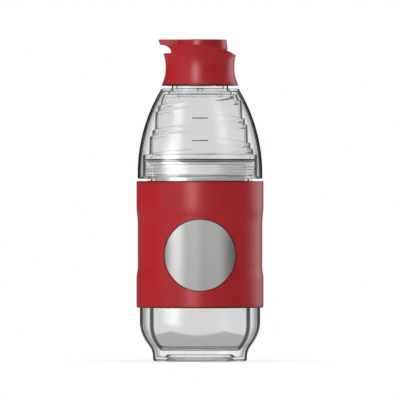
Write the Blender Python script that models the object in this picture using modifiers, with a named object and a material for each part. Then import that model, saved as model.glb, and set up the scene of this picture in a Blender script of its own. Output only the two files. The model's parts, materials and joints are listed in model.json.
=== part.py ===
# Portable coffee brewing bottle: a double-wall tumbler in a silicone sleeve, a hanging steel filter,
# a double-wall clear kettle screwed on top of it, and a screw cap with a flip lid.
# Metres, +Z up, the centre of the foot at the origin and the round window facing -Y.

import math

import bmesh
import bpy
from mathutils import Vector

# Clearance between pieces that touch, running gaps, and the overrun of cuts
clearance = 0.0003
running_gap = 0.0004
overrun = 0.003
merge_distance = 0.00001

# How finely round shapes are stepped
round_steps = 36
small_round_steps = 16
arc_steps = 5

# Tumbler: outer jacket
body_radius = 0.0379
jacket_wall = 0.0023
jacket_height = 0.1109
foot_inset = 0.0087
foot_edge_height = 0.0030
foot_curve_height = 0.0245
foot_chamfer = 0.0003
foot_land_width = 0.0064
punt_depth = 0.0019
punt_slope_width = 0.0017

# Tumbler: inner cup with its threaded mouth
air_gap = 0.0038
liner_wall = 0.0018
liner_base_height = 0.0067
liner_floor = 0.0020
liner_foot_inset = 0.0043
liner_curve_drop = 0.0018
flange_thickness = 0.0018
flange_blend_height = 0.0030
mouth_inset = 0.0049
mouth_wall = 0.0030
mouth_height = 0.0107

# Silicone grip sleeve with its round window
sleeve_bottom = 0.0336
sleeve_wall = 0.0018
sleeve_proud_height = 0.0003
sleeve_corner_radius = 0.0013
sleeve_top_bevel = 0.0003
waist_depth = 0.0008
waist_above_hem = 0.0204
waist_below_top = 0.0233
waist_lower_blend = 0.0040
waist_upper_blend = 0.0077
window_above_hem = 0.0332
window_radius = 0.0228
plate_thickness = 0.0006

# Steel filter hanging in the mouth
filter_rim_thickness = 0.0012
filter_rim_width = 0.0054
filter_skirt_depth = 0.0070
filter_skirt_wall = 0.0008
filter_sheet = 0.0006
filter_straight_depth = 0.0062
filter_depth = 0.0548
filter_taper = 0.0079
filter_ring_wall = 0.0006
filter_ring_height = 0.0036
filter_ring_lip = 0.0028
filter_disc_sheet = 0.0005

# Seal between the filter rim and the kettle
seal_height = 0.0011
seal_width = 0.0030

# Kettle: inner vessel with its helically stepped wall
seam_gap = 0.0018
thread_room = 0.0016
collar_wall = 0.0015
collar_flange_thickness = 0.0014
shelf_top_above_seam = 0.0152
kettle_wall = 0.0018
wall_height = 0.0380
shelf_width = 0.0029
crown_height = 0.0080
crown_drop = 0.0018
crown_gap = 0.0020
helix_pitch = 0.0153
helix_land = 0.0038
helix_step = 0.00145
ledge_slope = 0.0003
step_shares = (-0.75, 0.25, -0.25, 0.75)
neck_radius = 0.0178
neck_wall = 0.0033
neck_height = 0.0166
neck_boss_width = 0.0022
neck_boss_height = 0.0014

# Kettle: outer dome
dome_air_gap = 0.0014
dome_wall = 0.0018
dome_straight = 0.0032
dome_shoulder_width = 0.0065
dome_shoulder_thickness = 0.0018
plug_radius = 0.0019
plug_proud_height = 0.0002

# Cap: waisted shell, gasket, pouring insert
cap_gap = 0.0019
cap_waist_wall = 0.0023
cap_waist_arc_radius = 0.0260
cap_flare_start = 0.0090
cap_foot_chamfer = 0.0004
cap_rim_height = 0.0139
cap_rim_fall_radius = 0.0430
cap_thread_room = 0.0015
gasket_height = 0.0014
gasket_inset = 0.0002
ceiling_thickness = 0.0020
recess_depth = 0.0089
rim_dish = 0.0006
notch_fillet = 0.0017
notch_half_width = 0.0100
notch_above_waist = 0.0087
deck_thickness = 0.0024
deck_sheet = 0.0019
deck_skirt_wall = 0.0012
deck_skirt_depth = 0.0025
deck_lip_height = 0.0004
ring_thickness = 0.0013
nozzle_inset = 0.0070
nozzle_foot_radius = 0.0050
nozzle_tip_radius = 0.0032
nozzle_bore_radius = 0.0021
nozzle_height = 0.0045
vent_inset = 0.0066
vent_radius = 0.0018
vent_bore_radius = 0.0009
vent_height = 0.0027

# Flip lid, its hinge and its stoppers
lid_skirt_radius = 0.0170
lid_wall = 0.0014
lid_edge_step = 0.0004
lid_taper = 0.0007
lid_room = 0.0015
notch_room = 0.0007
lid_height = 0.0091
lid_ceiling = 0.0018
lid_edge_above_skirt = 0.0031
lid_edge_chamfer = 0.0004
lid_lift = 0.0006
tab_thickness = 0.0032
tab_root_depth = 0.0013
tab_floor_gap = 0.0010
tab_side_gap = 0.0006
hinge_drop = 0.0009
knuckle_radius = 0.0015
knuckle_half_width = 0.0046
knuckle_root_rise = 0.0004
root_share = 0.75
hinge_pin_radius = 0.0006
hinge_pin_half_length = 0.0080
slot_reach = 0.0026
slot_floor_gap = 0.0004
stopper_radius = 0.0040
stopper_boss_wall = 0.0010
stopper_boss_height = 0.0020
vent_stopper_radius = 0.0022

# Sizes and heights worked out from the values above
foot_radius = body_radius - foot_inset
liner_radius = body_radius - jacket_wall - air_gap
flange_bottom = jacket_height + clearance
flange_top = flange_bottom + flange_thickness
mouth_top = flange_top + mouth_height
mouth_radius = body_radius - mouth_inset
mouth_inner_radius = mouth_radius - mouth_wall
sleeve_inner_radius = body_radius + clearance
sleeve_radius = sleeve_inner_radius + sleeve_wall
sleeve_top = flange_top + sleeve_proud_height
waist_bottom = sleeve_bottom + waist_above_hem
waist_top = sleeve_top - waist_below_top
window_height = sleeve_bottom + window_above_hem
filter_rim_bottom = mouth_top + clearance
filter_rim_top = filter_rim_bottom + filter_rim_thickness
filter_bottom = filter_rim_bottom - filter_depth
filter_radius = mouth_inner_radius - running_gap - filter_skirt_wall - clearance
filter_base_radius = filter_radius - filter_taper
seal_bottom = filter_rim_top + clearance
shelf_bottom = seal_bottom + seal_height + clearance
kettle_bottom = flange_top + seam_gap
shelf_top = kettle_bottom + shelf_top_above_seam
collar_inner_radius = mouth_radius + thread_room
collar_radius = collar_inner_radius + collar_wall
wall_foot_radius = collar_radius - shelf_width
wall_top = shelf_top + wall_height
boss_top = wall_top + neck_boss_height
shoulder_top = boss_top + clearance + dome_shoulder_thickness
neck_top = boss_top + neck_height
neck_bore_radius = neck_radius - neck_wall
dome_inner_radius = collar_radius + dome_air_gap
dome_foot_radius = dome_inner_radius + dome_wall
dome_shoulder_radius = neck_radius + dome_shoulder_width
dome_arc_foot = kettle_bottom + dome_straight
dome_rise = shoulder_top - dome_arc_foot
dome_draw_in = dome_foot_radius - dome_shoulder_radius
dome_arc_radius = (dome_rise ** 2 + dome_draw_in ** 2) / (2 * dome_draw_in)
cap_bottom = shoulder_top + cap_gap
cap_bore_radius = neck_radius + cap_thread_room
cap_waist_radius = cap_bore_radius + cap_waist_wall
gasket_bottom = neck_top + clearance
ceiling_bottom = gasket_bottom + gasket_height + clearance
ceiling_top = ceiling_bottom + ceiling_thickness
cap_rim_top = ceiling_top + recess_depth
cap_waist_height = cap_rim_top - cap_rim_height
lid_inner_radius = lid_skirt_radius - lid_wall
nozzle_offset = lid_inner_radius - nozzle_inset
vent_offset = lid_inner_radius - vent_inset
lid_edge_radius = lid_skirt_radius + lid_edge_step
lid_top_radius = lid_edge_radius - lid_taper
recess_radius = lid_skirt_radius + lid_room
notch_left = lid_skirt_radius + notch_room
deck_radius = lid_skirt_radius + running_gap
hinge_offset = deck_radius + running_gap + knuckle_radius
slot_half_width = knuckle_half_width + running_gap
tab_half_width = notch_half_width - tab_side_gap
notch_floor = cap_waist_height + notch_above_waist
deck_bottom = ceiling_top + clearance
deck_top = deck_bottom + deck_thickness
lid_bottom = deck_top + lid_lift
lid_top = lid_bottom + lid_height
hinge_height = lid_bottom - hinge_drop


def clear_scene():
    for old in list(bpy.data.objects):
        bpy.data.objects.remove(old, do_unlink=True)


def make_collection(name):
    made = bpy.data.collections.new(name)
    bpy.context.scene.collection.children.link(made)
    return made


def make_material(name, colour, roughness, metallic=0.0, transmission=0.0):
    material = bpy.data.materials.new(name)
    material.use_nodes = True
    shader = material.node_tree.nodes["Principled BSDF"]
    shader.inputs["Base Color"].default_value = (*colour, 1.0)
    shader.inputs["Roughness"].default_value = roughness
    shader.inputs["Metallic"].default_value = metallic
    shader.inputs["Transmission Weight"].default_value = transmission
    return material


def make_axis(name, place, parent=None):
    """An empty on a joint's axis, for the pieces that move about or along it."""
    axis = bpy.data.objects.new(name, None)
    parts.objects.link(axis)
    carry(axis, parent, place)
    return axis


def carry(piece, parent, place):
    """Hang a piece on its parent with its own origin at a place of the bottle's frame."""
    piece.parent = parent
    below = Vector((0, 0, 0))
    above = parent
    while above:
        below += above.location
        above = above.parent
    piece.location = Vector(place) - below


def add_part(name, mesh, material, axis=None):
    part = bpy.data.objects.new(name, mesh)
    parts.objects.link(part)
    mesh.materials.append(material)
    mesh.shade_smooth()
    mesh.set_sharp_from_angle(angle=math.radians(30))
    carry(part, axis, (0, 0, 0))
    return part


def add_cutter(name, mesh):
    cutter = bpy.data.objects.new(name, mesh)
    cutters.objects.link(cutter)
    cutter.hide_render = True
    cutter.display_type = "WIRE"
    return cutter


def profile_mesh(name, outline, closed):
    """The outline, as (radius, height) points, as a chain of edges in the XZ plane."""
    mesh = bpy.data.meshes.new(name)
    points = [(radius, 0, height) for radius, height in outline]
    edges = [(at, at + 1) for at in range(len(points) - 1)]
    if closed:
        edges.append((len(points) - 1, 0))
    mesh.from_pydata(points, edges, [])
    return mesh


def spin(part, steps):
    """Turn a part's profile about the bottle's axis."""
    screw = part.modifiers.new("turn", "SCREW")
    screw.axis = "Z"
    screw.angle = math.tau
    screw.steps = steps
    screw.render_steps = steps
    screw.use_merge_vertices = True
    screw.merge_threshold = merge_distance


def turned(name, outline, material, axis=None, closed=True):
    """A turned piece: its outline runs down the outer side and up the inner one."""
    part = add_part(name, profile_mesh(name, outline, closed), material, axis)
    spin(part, round_steps)
    return part


def turned_shell(name, outline, wall, material, axis=None):
    """A turned shell: its outline is the outer face, and the wall grows inwards."""
    part = turned(name, outline, material, axis, closed=False)
    solid = part.modifiers.new("wall", "SOLIDIFY")
    solid.thickness = wall
    solid.offset = -1
    solid.use_even_offset = True
    return part


def turned_cutter(name, outline, closed=False):
    cutter = add_cutter(name, profile_mesh(name, outline, closed))
    spin(cutter, small_round_steps)
    return cutter


def prism(name, outline, half_depth):
    """A flat outline of (x, z) points in the XZ plane, made as thick along Y as asked, as a mesh."""
    curve = bpy.data.curves.new(name, "CURVE")
    curve.dimensions = "2D"
    curve.fill_mode = "BOTH"
    curve.extrude = half_depth
    spline = curve.splines.new("POLY")
    spline.points.add(len(outline) - 1)
    for point, (x, z) in zip(spline.points, outline):
        point.co = (x, z, 0, 1)
    spline.use_cyclic_u = True
    drawn = bpy.data.objects.new(name, curve)
    cutters.objects.link(drawn)
    drawn.rotation_euler = (math.radians(90), 0, 0)
    bpy.context.view_layer.update()
    mesh = bpy.data.meshes.new_from_object(drawn.evaluated_get(bpy.context.evaluated_depsgraph_get()))
    mesh.transform(drawn.matrix_world)
    bpy.data.objects.remove(drawn, do_unlink=True)
    weld = bmesh.new()
    weld.from_mesh(mesh)
    bmesh.ops.remove_doubles(weld, verts=weld.verts, dist=merge_distance)
    bmesh.ops.recalc_face_normals(weld, faces=weld.faces)
    weld.to_mesh(mesh)
    weld.free()
    return mesh


def box_mesh(name, low, high):
    mesh = bpy.data.meshes.new(name)
    cube = bmesh.new()
    bmesh.ops.create_cube(cube, size=1)
    low = Vector(low)
    high = Vector(high)
    bmesh.ops.scale(cube, vec=high - low, verts=cube.verts)
    bmesh.ops.translate(cube, vec=(low + high) / 2, verts=cube.verts)
    cube.to_mesh(mesh)
    cube.free()
    return mesh


def rod_mesh(name, radius, start, end, steps=small_round_steps):
    """A round bar from one point to another."""
    mesh = bpy.data.meshes.new(name)
    start = Vector(start)
    end = Vector(end)
    rod = bmesh.new()
    bmesh.ops.create_cone(
        rod, cap_ends=True, segments=steps, radius1=radius, radius2=radius, depth=(end - start).length
    )
    turn = Vector((0, 0, 1)).rotation_difference(end - start).to_matrix()
    bmesh.ops.rotate(rod, cent=(0, 0, 0), matrix=turn, verts=rod.verts)
    bmesh.ops.translate(rod, vec=(start + end) / 2, verts=rod.verts)
    rod.to_mesh(mesh)
    rod.free()
    return mesh


def combine(part, other, operation):
    """Cut a part by another solid, join them, or keep what they share."""
    boolean = part.modifiers.new(other.name, "BOOLEAN")
    boolean.operation = operation
    boolean.solver = "EXACT"
    boolean.object = other


def oval_arc(centre, reach, rise, start, end, steps=arc_steps):
    """Points on an oval of the XZ plane, from one angle in degrees to another."""
    points = []
    for at in range(steps + 1):
        angle = math.radians(start + (end - start) * at / steps)
        points.append((centre[0] + reach * math.cos(angle), centre[1] + rise * math.sin(angle)))
    return points


def arc(centre, radius, start, end, steps=arc_steps):
    """Points on a circle of the XZ plane, from one angle in degrees to another."""
    return oval_arc(centre, radius, radius, start, end, steps)


def ogee(start, end, steps=arc_steps):
    """Points on a smooth S that leaves and arrives upright."""
    points = []
    for at in range(steps + 1):
        share = at / steps
        blend = share * share * (3 - 2 * share)
        points.append((start[0] + (end[0] - start[0]) * blend, start[1] + (end[1] - start[1]) * share))
    return points


# Tumbler


def make_tumbler_jacket():
    punt_edge_radius = foot_radius - foot_chamfer - foot_land_width
    punt_radius = punt_edge_radius - punt_slope_width
    outline = [(body_radius, jacket_height)]
    outline += ogee((body_radius, foot_curve_height), (foot_radius, foot_edge_height))
    outline += [(foot_radius - foot_chamfer, 0), (punt_edge_radius, 0)]
    outline += [(punt_radius, punt_depth), (0, punt_depth)]
    return turned_shell("tumbler_jacket", outline, jacket_wall, clear_plastic)


def make_tumbler_liner():
    """The cup that holds the drink, its flange on the jacket, and the threaded mouth."""
    curve_top = foot_curve_height - liner_curve_drop
    corner_drop = curve_top - liner_base_height
    corner_draw_in = liner_radius - (foot_radius - liner_foot_inset)
    corner_radius = (corner_drop ** 2 + corner_draw_in ** 2) / (2 * corner_draw_in)
    corner_centre = (liner_radius - corner_radius, curve_top)
    corner_end = -math.degrees(math.asin(corner_drop / corner_radius))
    inner_corner_radius = corner_radius - liner_wall
    floor_height = liner_base_height + liner_floor
    floor_end = -math.degrees(math.asin((curve_top - floor_height) / inner_corner_radius))
    flange_radius = body_radius - clearance
    outline = [(0, floor_height)]
    outline += arc(corner_centre, inner_corner_radius, floor_end, 0)
    outline += [(mouth_inner_radius, mouth_top), (mouth_radius, mouth_top)]
    outline += [(mouth_radius, flange_top), (flange_radius, flange_top)]
    outline += [(flange_radius, flange_bottom), (mouth_radius, flange_bottom)]
    outline += [(liner_radius, flange_bottom - flange_blend_height)]
    outline += arc(corner_centre, corner_radius, 0, corner_end)
    outline += [(0, liner_base_height)]
    return turned("tumbler_liner", outline, clear_plastic, closed=False)


def make_grip_sleeve():
    waist_radius = sleeve_radius - waist_depth
    corner_centre = (sleeve_radius - sleeve_corner_radius, sleeve_bottom + sleeve_corner_radius)
    outline = [(sleeve_inner_radius, sleeve_top), (sleeve_radius - sleeve_top_bevel, sleeve_top)]
    outline += [(sleeve_radius, sleeve_top - sleeve_top_bevel)]
    outline += ogee((sleeve_radius, waist_top + waist_upper_blend), (waist_radius, waist_top), steps=3)
    outline += ogee(
        (waist_radius, waist_bottom), (sleeve_radius, waist_bottom - waist_lower_blend), steps=3)
    outline += arc(corner_centre, sleeve_corner_radius, 0, -90)
    outline += [(sleeve_inner_radius, sleeve_bottom)]
    sleeve = turned("grip_sleeve", outline, red_silicone)
    combine(sleeve, window_cutter("window_cut", window_radius), "DIFFERENCE")
    return sleeve


def window_cutter(name, radius):
    """A bar through the front of the sleeve, round the window's centre."""
    front = (0, -sleeve_radius - overrun, window_height)
    return add_cutter(name, rod_mesh(name, radius, front, (0, 0, window_height), round_steps))


def make_window_plate():
    """The bare steel disc in the window, bent to the tumbler."""
    inner = sleeve_inner_radius
    outer = inner + plate_thickness
    top = window_height + window_radius + overrun
    bottom = window_height - window_radius - overrun
    outline = [(outer, top), (outer, bottom), (inner, bottom), (inner, top)]
    plate = turned("window_plate", outline, brushed_steel)
    combine(plate, window_cutter("plate_outline", window_radius - running_gap), "INTERSECT")
    return plate


# Filter


def make_filter_flange():
    """The rim that rests on the mouth, with a skirt that centres it."""
    rim_inner = mouth_radius - filter_rim_width
    skirt_outer = mouth_inner_radius - running_gap
    skirt_inner = skirt_outer - filter_skirt_wall
    skirt_bottom = filter_rim_bottom - filter_skirt_depth
    outline = [(mouth_radius, filter_rim_top), (mouth_radius, filter_rim_bottom)]
    outline += [(skirt_outer, filter_rim_bottom), (skirt_outer, skirt_bottom)]
    outline += [(skirt_inner, skirt_bottom), (skirt_inner, filter_rim_bottom)]
    outline += [(rim_inner, filter_rim_bottom), (rim_inner, filter_rim_top)]
    return turned("filter_flange", outline, brushed_steel, filter_axis)


def make_filter_wall():
    top = filter_rim_bottom - clearance
    knee = filter_rim_bottom - filter_straight_depth
    inner_top = filter_radius - filter_sheet
    inner_bottom = filter_base_radius - filter_sheet
    outline = [(filter_radius, top), (filter_radius, knee), (filter_base_radius, filter_bottom)]
    outline += [(inner_bottom, filter_bottom), (inner_top, knee), (inner_top, top)]
    return turned("filter_wall", outline, steel_mesh, filter_axis)


def make_filter_base():
    """The ring that grips the wall's lower edge, and the etched disc that it holds."""
    disc_top = filter_bottom - clearance
    disc_bottom = disc_top - filter_disc_sheet
    lip_top = disc_bottom - clearance
    lip_bottom = lip_top - filter_ring_wall
    ring_top = lip_bottom + filter_ring_height
    slope = filter_taper / (filter_depth - filter_straight_depth)
    ring_inner = filter_base_radius + slope * (ring_top - filter_bottom) + clearance
    ring_outer = ring_inner + filter_ring_wall
    lip_inner = ring_inner - filter_ring_lip
    outline = [(ring_outer, ring_top), (ring_outer, lip_bottom), (lip_inner, lip_bottom)]
    outline += [(lip_inner, lip_top), (ring_inner, lip_top), (ring_inner, ring_top)]
    turned("filter_base_ring", outline, brushed_steel, filter_axis)
    disc = [
        (0, disc_top), (filter_base_radius, disc_top),
        (filter_base_radius, disc_bottom), (0, disc_bottom),
    ]
    turned("filter_disc", disc, steel_mesh, filter_axis, closed=False)


def make_joint_seal():
    outer = collar_inner_radius - clearance
    top = seal_bottom + seal_height
    outline = [
        (outer, top), (outer, seal_bottom),
        (outer - seal_width, seal_bottom), (outer - seal_width, top),
    ]
    return turned("joint_seal", outline, pale_silicone, seal_axis)


# Kettle: its inner wall is a cone with two small steps a turn, which climb in a helix


def dome_radius(height):
    """The outer radius of the dome's arc at a height."""
    reach = math.sqrt(dome_arc_radius ** 2 - (height - dome_arc_foot) ** 2)
    return dome_foot_radius - dome_arc_radius + reach


def wall_radius(height):
    """The cone that the steps follow, drawn in a little to clear the dome under its shoulder."""
    wall_top_radius = dome_radius(wall_top) - dome_wall - crown_gap
    lean = (wall_foot_radius - wall_top_radius - crown_drop) / wall_height
    into_crown = max(0, height - wall_top + crown_height)
    return wall_foot_radius - lean * (height - shelf_top) - crown_drop * (into_crown / crown_height) ** 2


def stepped_wall(angle):
    """One column of the stepped wall at an angle: (radius, height) points, top to bottom."""
    climb = helix_pitch * angle / math.tau
    turns = math.ceil(wall_height / helix_pitch) + 3
    points = []
    for turn in range(turns):
        upper = wall_top + helix_pitch * (1 - turn) + climb
        lower = upper - helix_land
        edges = (upper, upper - ledge_slope, lower, lower - ledge_slope)
        for height, share in zip(edges, step_shares):
            points.append((wall_radius(height) + share * helix_step, height))
    return points


def clamp_column(points, top, bottom):
    """Cut a column of points off at two heights, and keep their number."""
    cut = []
    for at, (radius, height) in enumerate(points):
        limit = min(max(height, bottom), top)
        if limit != height:
            radius = radius_at(points, limit)
        cut.append((radius, limit))
    return cut


def radius_at(points, height):
    for (upper_radius, upper), (lower_radius, lower) in zip(points, points[1:]):
        if lower <= height <= upper:
            share = (upper - height) / (upper - lower)
            return upper_radius + (lower_radius - upper_radius) * share
    raise ValueError("the stepped wall does not reach this height")


def kettle_section(angle):
    """The closed outline of the inner vessel at one angle: down outside, up inside."""
    column = stepped_wall(angle)
    outside = clamp_column(column, wall_top, shelf_top)
    inset = [(radius - kettle_wall, height - kettle_wall) for radius, height in column]
    inside = clamp_column(inset, wall_top - kettle_wall, shelf_bottom)
    boss_radius = neck_radius + neck_boss_width
    flange_radius = dome_inner_radius - clearance
    flange_upper = kettle_bottom + collar_flange_thickness
    outline = [
        (neck_radius, neck_top), (neck_radius, boss_top),
        (boss_radius, boss_top), (boss_radius, wall_top),
    ]
    outline += outside
    outline += [(collar_radius, shelf_top), (collar_radius, flange_upper), (flange_radius, flange_upper)]
    outline += [(flange_radius, kettle_bottom), (collar_inner_radius, kettle_bottom)]
    outline += [(collar_inner_radius, shelf_bottom)]
    outline += reversed(inside)
    outline += [(neck_bore_radius, wall_top - kettle_wall), (neck_bore_radius, neck_top)]
    return outline


def make_kettle_liner():
    """Lofted round the axis, because no two sections of the climbing steps are alike."""
    loft = bmesh.new()
    columns = []
    for step in range(round_steps + 1):
        angle = math.tau * step / round_steps
        column = [
            loft.verts.new((radius * math.cos(angle), radius * math.sin(angle), height))
            for radius, height in kettle_section(angle)
        ]
        columns.append(column)
    for left, right in zip(columns, columns[1:]):
        for at in range(len(left)):
            loft.faces.new((left[at - 1], left[at], right[at], right[at - 1]))
    bmesh.ops.remove_doubles(loft, verts=loft.verts, dist=merge_distance)
    bmesh.ops.recalc_face_normals(loft, faces=loft.faces)
    mesh = bpy.data.meshes.new("kettle_liner")
    loft.to_mesh(mesh)
    loft.free()
    return add_part("kettle_liner", mesh, clear_plastic, kettle_axis)


def make_kettle_dome():
    """The outer dome: one arc from the seam to a flat shoulder round the neck."""
    arc_centre = (dome_foot_radius - dome_arc_radius, dome_arc_foot)
    arc_end = math.degrees(math.asin(dome_rise / dome_arc_radius))
    outline = [(neck_radius + running_gap, shoulder_top)]
    outline += arc(arc_centre, dome_arc_radius, arc_end, 0, steps=6)
    outline += [(dome_foot_radius, kettle_bottom)]
    dome = turned_shell("kettle_dome", outline, dome_wall, clear_plastic, kettle_axis)
    hole_radius = plug_radius + clearance
    top = shoulder_top + overrun
    bottom = boss_top - neck_boss_height / 2
    centre = plug_centre()
    bore = rod_mesh("plug_hole", hole_radius, (0, centre, bottom), (0, centre, top))
    hole = add_cutter("plug_hole", bore)
    combine(dome, hole, "DIFFERENCE")
    return dome


def plug_centre():
    """The plug sits in the middle of the flat shoulder, on the window's side."""
    return -(neck_radius + neck_boss_width + dome_shoulder_radius) / 2


def make_shoulder_plug():
    """The small round plug that closes the air space between the two walls."""
    bottom = shoulder_top - dome_shoulder_thickness
    top = shoulder_top + plug_proud_height
    centre = plug_centre()
    mesh = rod_mesh("shoulder_plug", plug_radius, (0, centre, bottom), (0, centre, top))
    return add_part("shoulder_plug", mesh, clear_plastic, kettle_axis)


# Cap


def cap_radius(height):
    """The waisted outside of the cap and of the lid's tab: an arc, then a straight flare."""
    from_waist = min(height - cap_waist_height, cap_flare_start)
    bow = math.sqrt(cap_waist_arc_radius ** 2 - from_waist ** 2)
    flare_share = cap_flare_start / math.sqrt(cap_waist_arc_radius ** 2 - cap_flare_start ** 2)
    flare = flare_share * max(0, height - cap_waist_height - cap_flare_start)
    return cap_waist_radius + cap_waist_arc_radius - bow + flare


def make_cap_shell():
    outline = []
    for step in range(arc_steps):
        height = cap_rim_top + (cap_waist_height - cap_rim_top) * step / arc_steps
        outline.append((cap_radius(height), height))
    foot = cap_bottom + cap_foot_chamfer
    for step in range(arc_steps + 1):
        height = cap_waist_height + (foot - cap_waist_height) * step / arc_steps
        outline.append((cap_radius(height), height))
    outline += [(cap_radius(foot) - cap_foot_chamfer, cap_bottom), (cap_bore_radius, cap_bottom)]
    outline += [(cap_bore_radius, ceiling_bottom), (neck_bore_radius, ceiling_bottom)]
    outline += [(neck_bore_radius, ceiling_top), (recess_radius, ceiling_top)]
    outline += [(recess_radius, cap_rim_top - rim_dish)]
    shell = turned("cap_shell", outline, red_plastic, cap_axis)
    for name, side_view in (("rim_fall_cut", rim_fall_outline()), ("notch_cut", notch_outline())):
        cutter = add_cutter(name, prism(name, side_view, sleeve_radius))
        combine(shell, cutter, "DIFFERENCE")
    reach = cap_radius(cap_rim_top) + overrun
    pocket = box_mesh(
        "thumb_pocket",
        (-reach, -notch_half_width, notch_floor),
        (-recess_radius / 2, notch_half_width, cap_rim_top + overrun),
    )
    combine(shell, add_cutter("thumb_pocket", pocket), "DIFFERENCE")
    combine(shell, hinge_slot("hinge_slot"), "DIFFERENCE")
    combine(shell, hinge_bore("cap_hinge_bore"), "DIFFERENCE")
    return shell


def rim_fall_outline():
    """What is cut off above the rim: level at the middle, falling in an arc towards the hinge."""
    reach = cap_radius(cap_rim_top) + overrun
    end = 90 - math.degrees(math.asin(reach / cap_rim_fall_radius))
    outline = arc((0, cap_rim_top - cap_rim_fall_radius), cap_rim_fall_radius, 90, end, steps=8)
    return outline + [(reach, cap_rim_top + overrun), (0, cap_rim_top + overrun)]


def notch_outline():
    """The open step beside the thumb tab, with a rounded inner corner."""
    reach = cap_radius(cap_rim_top) + overrun
    fillet_centre = (-notch_left - notch_fillet, notch_floor + notch_fillet)
    outline = [(-reach, cap_rim_top + overrun), (-reach, notch_floor)]
    outline += arc(fillet_centre, notch_fillet, -90, 0, steps=4)
    return outline + [(-notch_left, cap_rim_top + overrun)]


def hinge_slot(name):
    """The slot in the rim that takes the lid's knuckle."""
    low = (lid_skirt_radius, -slot_half_width, hinge_height - knuckle_radius - slot_floor_gap)
    high = (hinge_offset + slot_reach, slot_half_width, cap_rim_top + overrun)
    return add_cutter(name, box_mesh(name, low, high))


def hinge_bore(name):
    end = Vector((hinge_offset, hinge_pin_half_length + overrun, hinge_height))
    start = Vector((hinge_offset, -hinge_pin_half_length - overrun, hinge_height))
    return add_cutter(name, rod_mesh(name, hinge_pin_radius + clearance, start, end))


def make_cap_gasket():
    outer = neck_radius - gasket_inset
    inner = neck_bore_radius + gasket_inset
    top = gasket_bottom + gasket_height
    outline = [(outer, top), (outer, gasket_bottom), (inner, gasket_bottom), (inner, top)]
    return turned("cap_gasket", outline, pale_silicone, gasket_axis)


def make_pour_insert():
    """The deck under the lid, with the pouring nozzle, the air vent and the skirt for the ring."""
    skirt_outer = neck_bore_radius - 2 * clearance - ring_thickness
    skirt_inner = skirt_outer - deck_skirt_wall
    skirt_bottom = deck_bottom - deck_skirt_depth
    lip_outer = neck_bore_radius - 2 * clearance
    lip_top = skirt_bottom + deck_lip_height
    ceiling = deck_top - deck_sheet
    outline = [
        (0, deck_top), (deck_radius, deck_top), (deck_radius, deck_bottom), (skirt_outer, deck_bottom),
    ]
    outline += [(skirt_outer, lip_top), (lip_outer, lip_top), (lip_outer, skirt_bottom)]
    outline += [(skirt_inner, skirt_bottom), (skirt_inner, ceiling), (0, ceiling)]
    insert = turned("pour_insert", outline, dark_plastic, cap_axis, closed=False)
    deck_middle = (ceiling + deck_top) / 2
    nozzle_top = deck_top + nozzle_height
    nozzle = [
        (0, nozzle_top), (nozzle_tip_radius, nozzle_top),
        (nozzle_foot_radius, deck_middle), (0, deck_middle),
    ]
    join_form(insert, "nozzle_form", nozzle, -nozzle_offset)
    vent_top = deck_top + vent_height
    vent = [(0, vent_top), (vent_radius, vent_top), (vent_radius, deck_middle), (0, deck_middle)]
    join_form(insert, "vent_form", vent, vent_offset)
    for name, offset, radius in (
        ("nozzle_bore", -nozzle_offset, nozzle_bore_radius),
        ("vent_bore", vent_offset, vent_bore_radius),
    ):
        low = (offset, 0, ceiling - overrun)
        high = (offset, 0, nozzle_top + overrun)
        combine(insert, add_cutter(name, rod_mesh(name, radius, low, high)), "DIFFERENCE")
    return insert


def join_form(part, name, outline, offset):
    """Join a small turned form whose axis stands at an offset along X, half a step round."""
    form = turned_cutter(name, outline)
    form.location.x = offset
    form.rotation_euler.z = math.pi / small_round_steps
    combine(part, form, "UNION")


def make_insert_ring():
    """The round sealing ring in the insert's groove."""
    minor = ring_thickness / 2
    skirt_outer = neck_bore_radius - 2 * clearance - ring_thickness
    centre = (skirt_outer + clearance + minor, deck_bottom - clearance - minor)
    outline = arc(centre, minor, 360, 0)[:-1]
    return turned("insert_ring", outline, pale_silicone, cap_axis)


def make_hinge_pin():
    start = (hinge_offset, -hinge_pin_half_length, hinge_height)
    end = (hinge_offset, hinge_pin_half_length, hinge_height)
    pin = rod_mesh("hinge_pin", hinge_pin_radius, start, end)
    return add_part("hinge_pin", pin, brushed_steel, cap_axis)


# Flip lid


def make_flip_lid():
    edge_height = lid_bottom + lid_edge_above_skirt
    ceiling = lid_top - lid_ceiling
    outline = [(0, lid_top), (lid_top_radius - lid_edge_chamfer, lid_top)]
    outline += [(lid_top_radius, lid_top - lid_edge_chamfer), (lid_edge_radius, edge_height)]
    outline += [(lid_skirt_radius, edge_height - lid_edge_chamfer), (lid_skirt_radius, lid_bottom)]
    outline += [(lid_inner_radius, lid_bottom), (lid_inner_radius, ceiling), (0, ceiling)]
    lid = turned("flip_lid", outline, red_plastic, lid_axis, closed=False)
    combine(lid, make_thumb_tab(), "UNION")
    combine(lid, make_knuckle(), "UNION")
    for name, offset, radius in (
        ("spout_stopper_boss", -nozzle_offset, stopper_radius),
        ("vent_stopper_boss", vent_offset, vent_stopper_radius),
    ):
        inner = radius + clearance
        outer = inner + stopper_boss_wall
        low = ceiling - stopper_boss_height
        high = ceiling + lid_ceiling / 2
        boss_outline = [(outer, high), (outer, low), (inner, low), (inner, high)]
        boss = turned_cutter(name, boss_outline, closed=True)
        boss.location.x = offset
        combine(lid, boss, "UNION")
    combine(lid, hinge_bore("lid_hinge_bore"), "DIFFERENCE")
    return lid


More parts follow.
